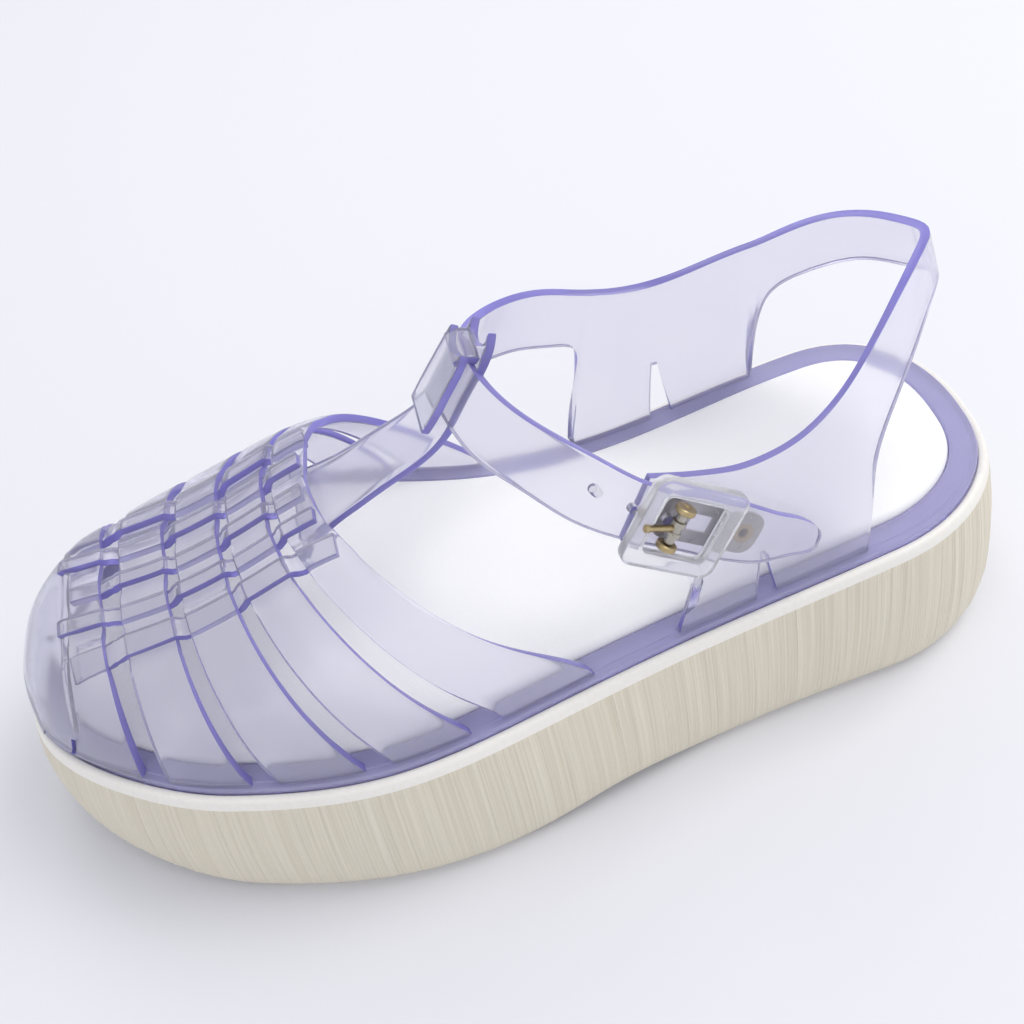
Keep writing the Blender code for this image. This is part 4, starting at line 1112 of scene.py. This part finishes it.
# %% The strap's end at the buckle
# The strap in and behind the buckle, in mm in the buckle's own axes: along the strap, upper and
# lower edge across it, and the height of the outer face.
TAIL = (
    (-10.0, 7.1, -9.0, -7.3, 3.6, 3.6), (-0.4, 7.9, 1.2, -7.2, 3.6, 3.6), (8.8, 7.8, 11.0, -7.4, 3.6, 3.6),
    (16.8, 7.6, 19.7, -7.2, 3.6, 3.6), (24.3, 7.2, 26.1, -6.1, 3.6, 3.6), (30.8, 6.6, 32.0, -4.6, 1.9, 2.2),
    (36.9, 5.6, 37.6, -2.6, 1.2, 1.6), (39.4, 4.5, 39.8, -1.6, 1.1, 1.5), (41.0, 2.7, 41.0, 0.0, 1.0, 1.4),
)
# The buckle's middle in mm, and its turn in degrees: it leans with the quarter, drops towards the
# heel and faces the outer side.
BUCKLE_PLACE = (33.46, 37.42, 82.04)
LEAN, DROP, HEADING = 76.82, 34.31, 87.9
buckle_turn = Euler([math.radians(v) for v in (LEAN, DROP, HEADING)], "XYZ").to_matrix().to_4x4()
BUCKLE = Matrix.Translation(Vector(BUCKLE_PLACE) * MM) @ buckle_turn


def back_point(side, at, rise):
    """A point of the band, from the shares that its table gives."""
    return Vector((side * HEEL_WIDTH, float(along(at)), float(edge_height(at)) + rise * COLLAR_RISE))


tops, lows = [], []
for top_side, top_at, top_rise, low_side, low_at, low_rise in BACK:
    tops.append(back_point(top_side, top_at, top_rise))
    if low_side is None:
        lows.append(side_point(low_at, 1 if top_side > 0 else -1, STRAP_INSET, STRAP_ROOT))
    else:
        lows.append(back_point(low_side, low_at, low_rise))
for along_top, top, along_low, low, top_height, low_height in TAIL:
    tops.append(BUCKLE @ (Vector((along_top, top, top_height)) * MM))
    lows.append(BUCKLE @ (Vector((along_low, low, low_height)) * MM))
print("sections with the strap's end:", len(tops))

# %% [markdown]
# Two curves run through the sections, one along the rim and one along the lower edge. The band's
# grid has more columns where the sections lie far apart, so that its quads stay nearly square.

# %% Curves and columns of the band
COLUMN_WIDTH = 2.2 * MM
# The lower edge turns sharply at the feet of the legs, so its curve is drawn in stretches.
BREAKS = (0, 3, 4, 5, 6, 7, 19, 20, 21, 22, len(tops) - 1)


def lengths_of(points):
    """Distance of each point from the first, measured from point to point."""
    steps = [(b - a).length for a, b in zip(points[:-1], points[1:])]
    return np.concatenate([[0.0], np.cumsum(np.maximum(steps, 0.2 * MM))])


top_length = lengths_of(tops)
top_curve = curve_through(top_length, np.array([p[:] for p in tops]))
low_curves = []
for first, last in zip(BREAKS[:-1], BREAKS[1:]):
    stretch = lows[first:last + 1]
    lengths = lengths_of(stretch)
    low_curves.append((first, last, lengths, curve_through(lengths, np.array([p[:] for p in stretch]))))

places = [0.0]
for i in range(len(tops) - 1):
    longest = max((tops[i + 1] - tops[i]).length, (lows[i + 1] - lows[i]).length)
    parts = max(2, round(longest / COLUMN_WIDTH))
    places += [i + (k + 1) / parts for k in range(parts)]
print("columns in the band:", len(places))


def section_at(place):
    """Top and low point of the band at a place counted in table rows."""
    i = min(int(place), len(tops) - 2)
    share = place - i
    top = top_curve(top_length[i] + share * (top_length[i + 1] - top_length[i]))
    first, last, lengths, curve = next(c for c in low_curves if c[0] <= i < c[1])
    low = curve(lengths[i - first] + share * (lengths[i - first + 1] - lengths[i - first]))
    return Vector(top), Vector(low)


# %% [markdown]
# Each quarter has a narrow slit that parts its foot in two, so that it can spread round the ankle.
# The slit is a gap of one section in the grid, and the columns beside it lean in towards its top,
# which makes it a wedge.

# %% Band of quarters, heel strap and ankle strap
BAND_ROWS = 25
SLITS = (5.0, 20.0)
SLIT_TOP = 0.36


def squeezed(place, height):
    """Narrows a slit towards its top: the places beside it close in, and open out again above."""
    if height < SLIT_TOP:
        share = 0.75 * height / SLIT_TOP
    else:
        share = 0.75 * (1.0 - smooth_step(SLIT_TOP, SLIT_TOP + 0.35, height))
    for start in SLITS:
        distance = place - start - 0.5
        if abs(distance) < 0.5:
            place -= distance * share
        elif abs(distance) < 1.1:
            place -= math.copysign(0.5 * share * (1.1 - abs(distance)) / 0.6, distance)
    return place


# The inner leg swells outwards between the flange and the strap, as the ankle does.
LEG_BULGE = 3.6 * MM


def lay_band(u, v):
    """Lays the band: u counts its columns, v runs from the lower edge to the rim."""
    place = squeezed(places[round(u * (len(places) - 1))], v)
    top, low = section_at(place)
    point = low.lerp(top, v)
    foot = float(edge_height(point.y / SOLE_LENGTH + 0.5)) + STRAP_ROOT
    height = (point.z - foot) / (top.z - foot)
    swell = LEG_BULGE * smooth_step(18.5, 21.0, place) * (1.0 - smooth_step(25.0, 28.0, place))
    return point - Vector((4.0 * height * (1.0 - height) * swell, 0.0, 0.0))


def slit(u, v):
    """True inside a slit."""
    place = places[int(u * (len(places) - 1))]
    return v < SLIT_TOP and any(start <= place < start + 1.0 for start in SLITS)


def band_outwards(point):
    """Away from the ankle's axis."""
    return Vector((point.x, point.y - 0.052, 0.0))


sheet = laid_sheet(len(places) - 1, BAND_ROWS, lay_band, band_outwards, slit)
band = moulded("quarters_and_ankle_strap", sheet)
print("faces in the band's sheet:", len(band.data.polygons))

# %% [markdown]
# The mould leaves round holes along the ankle strap for the prong, and one in the quarter for the
# rivet. A cone operator with two equal radii gives the pin that stands there in the mould.

# %% Holes of the strap and the rivet
# Each row, in mm in the buckle's axes: distance along the strap, low and high end, and radius.
HOLES = ((-3.5, 0.6, 6.0, 1.3), (-11.7, 0.6, 6.0, 1.3), (-19.9, -4.0, 6.0, 1.3), (18.5, -6.0, 1.2, 1.8))
pins = []
for distance, low, high, radius in HOLES:
    shape = bmesh.new()
    spot = BUCKLE @ Matrix.Translation(Vector((distance, 0.0, (low + high) / 2.0)) * MM)
    bmesh.ops.create_cone(shape, cap_ends=True, segments=24, radius1=radius * MM, radius2=radius * MM,
                          depth=(high - low) * MM, matrix=SHIFT @ spot)
    pins.append(cut_away(band, "hole", shape))
settle(band)
for pin in pins:
    bpy.data.objects.remove(pin)

# %% [markdown]
# ## The buckle
# A clear frame lies over the strap. Under the strap a metal plate is riveted to the quarter. The
# prong hinges on the plate, comes up through a hole of the strap and rests on the front bar. The
# frame is pulled through four rounded rectangles, outside and window, low and high. Bridging them
# would be shorter, but on so regular a shape it can pair the wrong corners and twist the frame.

# %% Frame
FRAME = (25.0, 23.0, 3.2)
WINDOW = (16.6, 14.6, 1.6)
FRAME_LOW, FRAME_HIGH = 3.9, 7.3


def rounded_rectangle(length, width, corner, height, steps=8):
    """Points of a rectangle with round corners at a height over the buckle, from sizes in mm."""
    points = []
    for quarter in range(4):
        middle_x = (1, -1, -1, 1)[quarter] * (length / 2.0 - corner)
        middle_y = (1, 1, -1, -1)[quarter] * (width / 2.0 - corner)
        for i in range(steps + 1):
            angle = math.pi / 2.0 * (quarter + i / steps)
            x = middle_x + corner * math.cos(angle)
            y = middle_y + corner * math.sin(angle)
            flat = Vector((x, y, 0.0)) * MM
            points.append(BUCKLE @ (flat + Vector((0.0, 0.0, height * MM))))
    return points


loops = [rounded_rectangle(*FRAME, height) for height in (FRAME_LOW, FRAME_HIGH)]
loops += [rounded_rectangle(*WINDOW, height) for height in (FRAME_HIGH, FRAME_LOW)]
buckle = new_piece("clear_buckle_frame", closed_band(loops), clear_acrylic, "clear_acrylic", "buckle_frame")
round_edges(buckle, 0.9 * MM, 3)
settle(buckle)

# %% [markdown]
# The prong turns on a small hub that stands in the frame's opening between two round lugs. The
# lugs are stamped brass, the hub is a plated pin, and the prong is wire with a cut end.

# %% Hub, lugs and prong
HUB_AT = Vector((-2.0, -0.4, 5.7)) * MM
across_strap = Matrix.Rotation(math.radians(90.0), 4, "X")


def turned(name, profile, where, axis, material, slot, *nodes):
    """A turned part: a profile of radius and height, spun round its axis."""
    shape = bmesh.new()
    verts = [shape.verts.new((radius * MM, 0.0, height * MM)) for radius, height in profile]
    lines = [shape.edges.new((a, b)) for a, b in zip(verts, verts[1:])]
    bmesh.ops.spin(shape, geom=verts + lines, cent=(0, 0, 0), axis=(0, 0, 1), dvec=(0, 0, 0),
                   angle=math.tau, steps=32, use_merge=True)
    bmesh.ops.remove_doubles(shape, verts=shape.verts, dist=0.01 * MM)
    bmesh.ops.recalc_face_normals(shape, faces=shape.faces)
    bmesh.ops.transform(shape, matrix=BUCKLE @ Matrix.Translation(where) @ axis, verts=shape.verts)
    return settle(new_piece(name, shape, material, slot, *nodes), 30.0)


HUB = (
    (0.0, -3.9), (1.2, -3.9), (1.2, -2.2), (1.75, -2.0), (1.75, -0.9), (1.4, -0.7),
    (1.4, 0.7), (1.75, 0.9), (1.75, 2.0), (1.2, 2.2), (1.2, 3.9), (0.0, 3.9),
)
LUG = (
    (0.0, -0.75), (2.2, -0.75), (2.45, -0.5), (2.45, 0.5),
    (2.2, 0.75), (1.1, 0.75), (0.9, 0.45), (0.0, 0.45),
)
LUG_DISTANCE = 4.9
turned("prong_hub", HUB, HUB_AT, across_strap, nickel_plate, "plated_brass", "buckle_prong")
for side in (-1.0, 1.0):
    spot = HUB_AT + Vector((0.0, side * LUG_DISTANCE, 0.0)) * MM
    facing = across_strap if side < 0.0 else across_strap.inverted()
    turned("prong_lug", LUG, spot, facing, pale_brass, "plated_brass", "buckle_prong")

WIRE = ((0.0, 0.0), (0.8, 0.0), (0.8, 8.2), (0.95, 8.5), (0.95, 9.1), (0.7, 9.3), (0.0, 9.3))
aim = Vector((-9.0, -0.5, 2.3)).to_track_quat("Z", "Y").to_matrix().to_4x4()
turned("prong_wire", WIRE, HUB_AT, aim, pale_brass, "plated_brass", "buckle_prong")

# %% [markdown]
# The rivet is an eyelet, a brass tube whose end is rolled over. It lies flat under the strap's
# tail and has a washer head inside the quarter. Its profile comes back to its start, so the spin
# leaves the bore open.

# %% Rivet
EYELET = (
    (0.9, -3.6), (2.9, -3.6), (3.4, -3.2), (3.4, -2.8), (1.45, -2.6), (1.45, 0.9),
    (2.6, 1.12), (2.6, 1.28), (1.5, 1.34), (1.1, 1.1), (0.9, 0.6), (0.9, -3.6),
)
RIVET_AT = Vector((18.5, 0.0, 0.0)) * MM
turned("eyelet_rivet", EYELET, RIVET_AT, Matrix.Identity(4), pale_brass, "rivet_brass", "rivet")

# %% [markdown]
# The base plate is a flat stamping with a window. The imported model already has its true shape, so
# it stays as it is and only gets its finish.

# %% Base plate
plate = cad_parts["buckle_plate"]
plate.data.materials.clear()
plate.data.materials.append(nickel_plate)
print("plate:", len(plate.data.polygons), "triangles")

# %% [markdown]
# ## Done
# The last cell prints the visual box of the scene, so that the sizes can be compared.

# %% Sizes
low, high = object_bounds()
print("visual box in mm:", [round(v / MM, 1) for v in (high - low)])
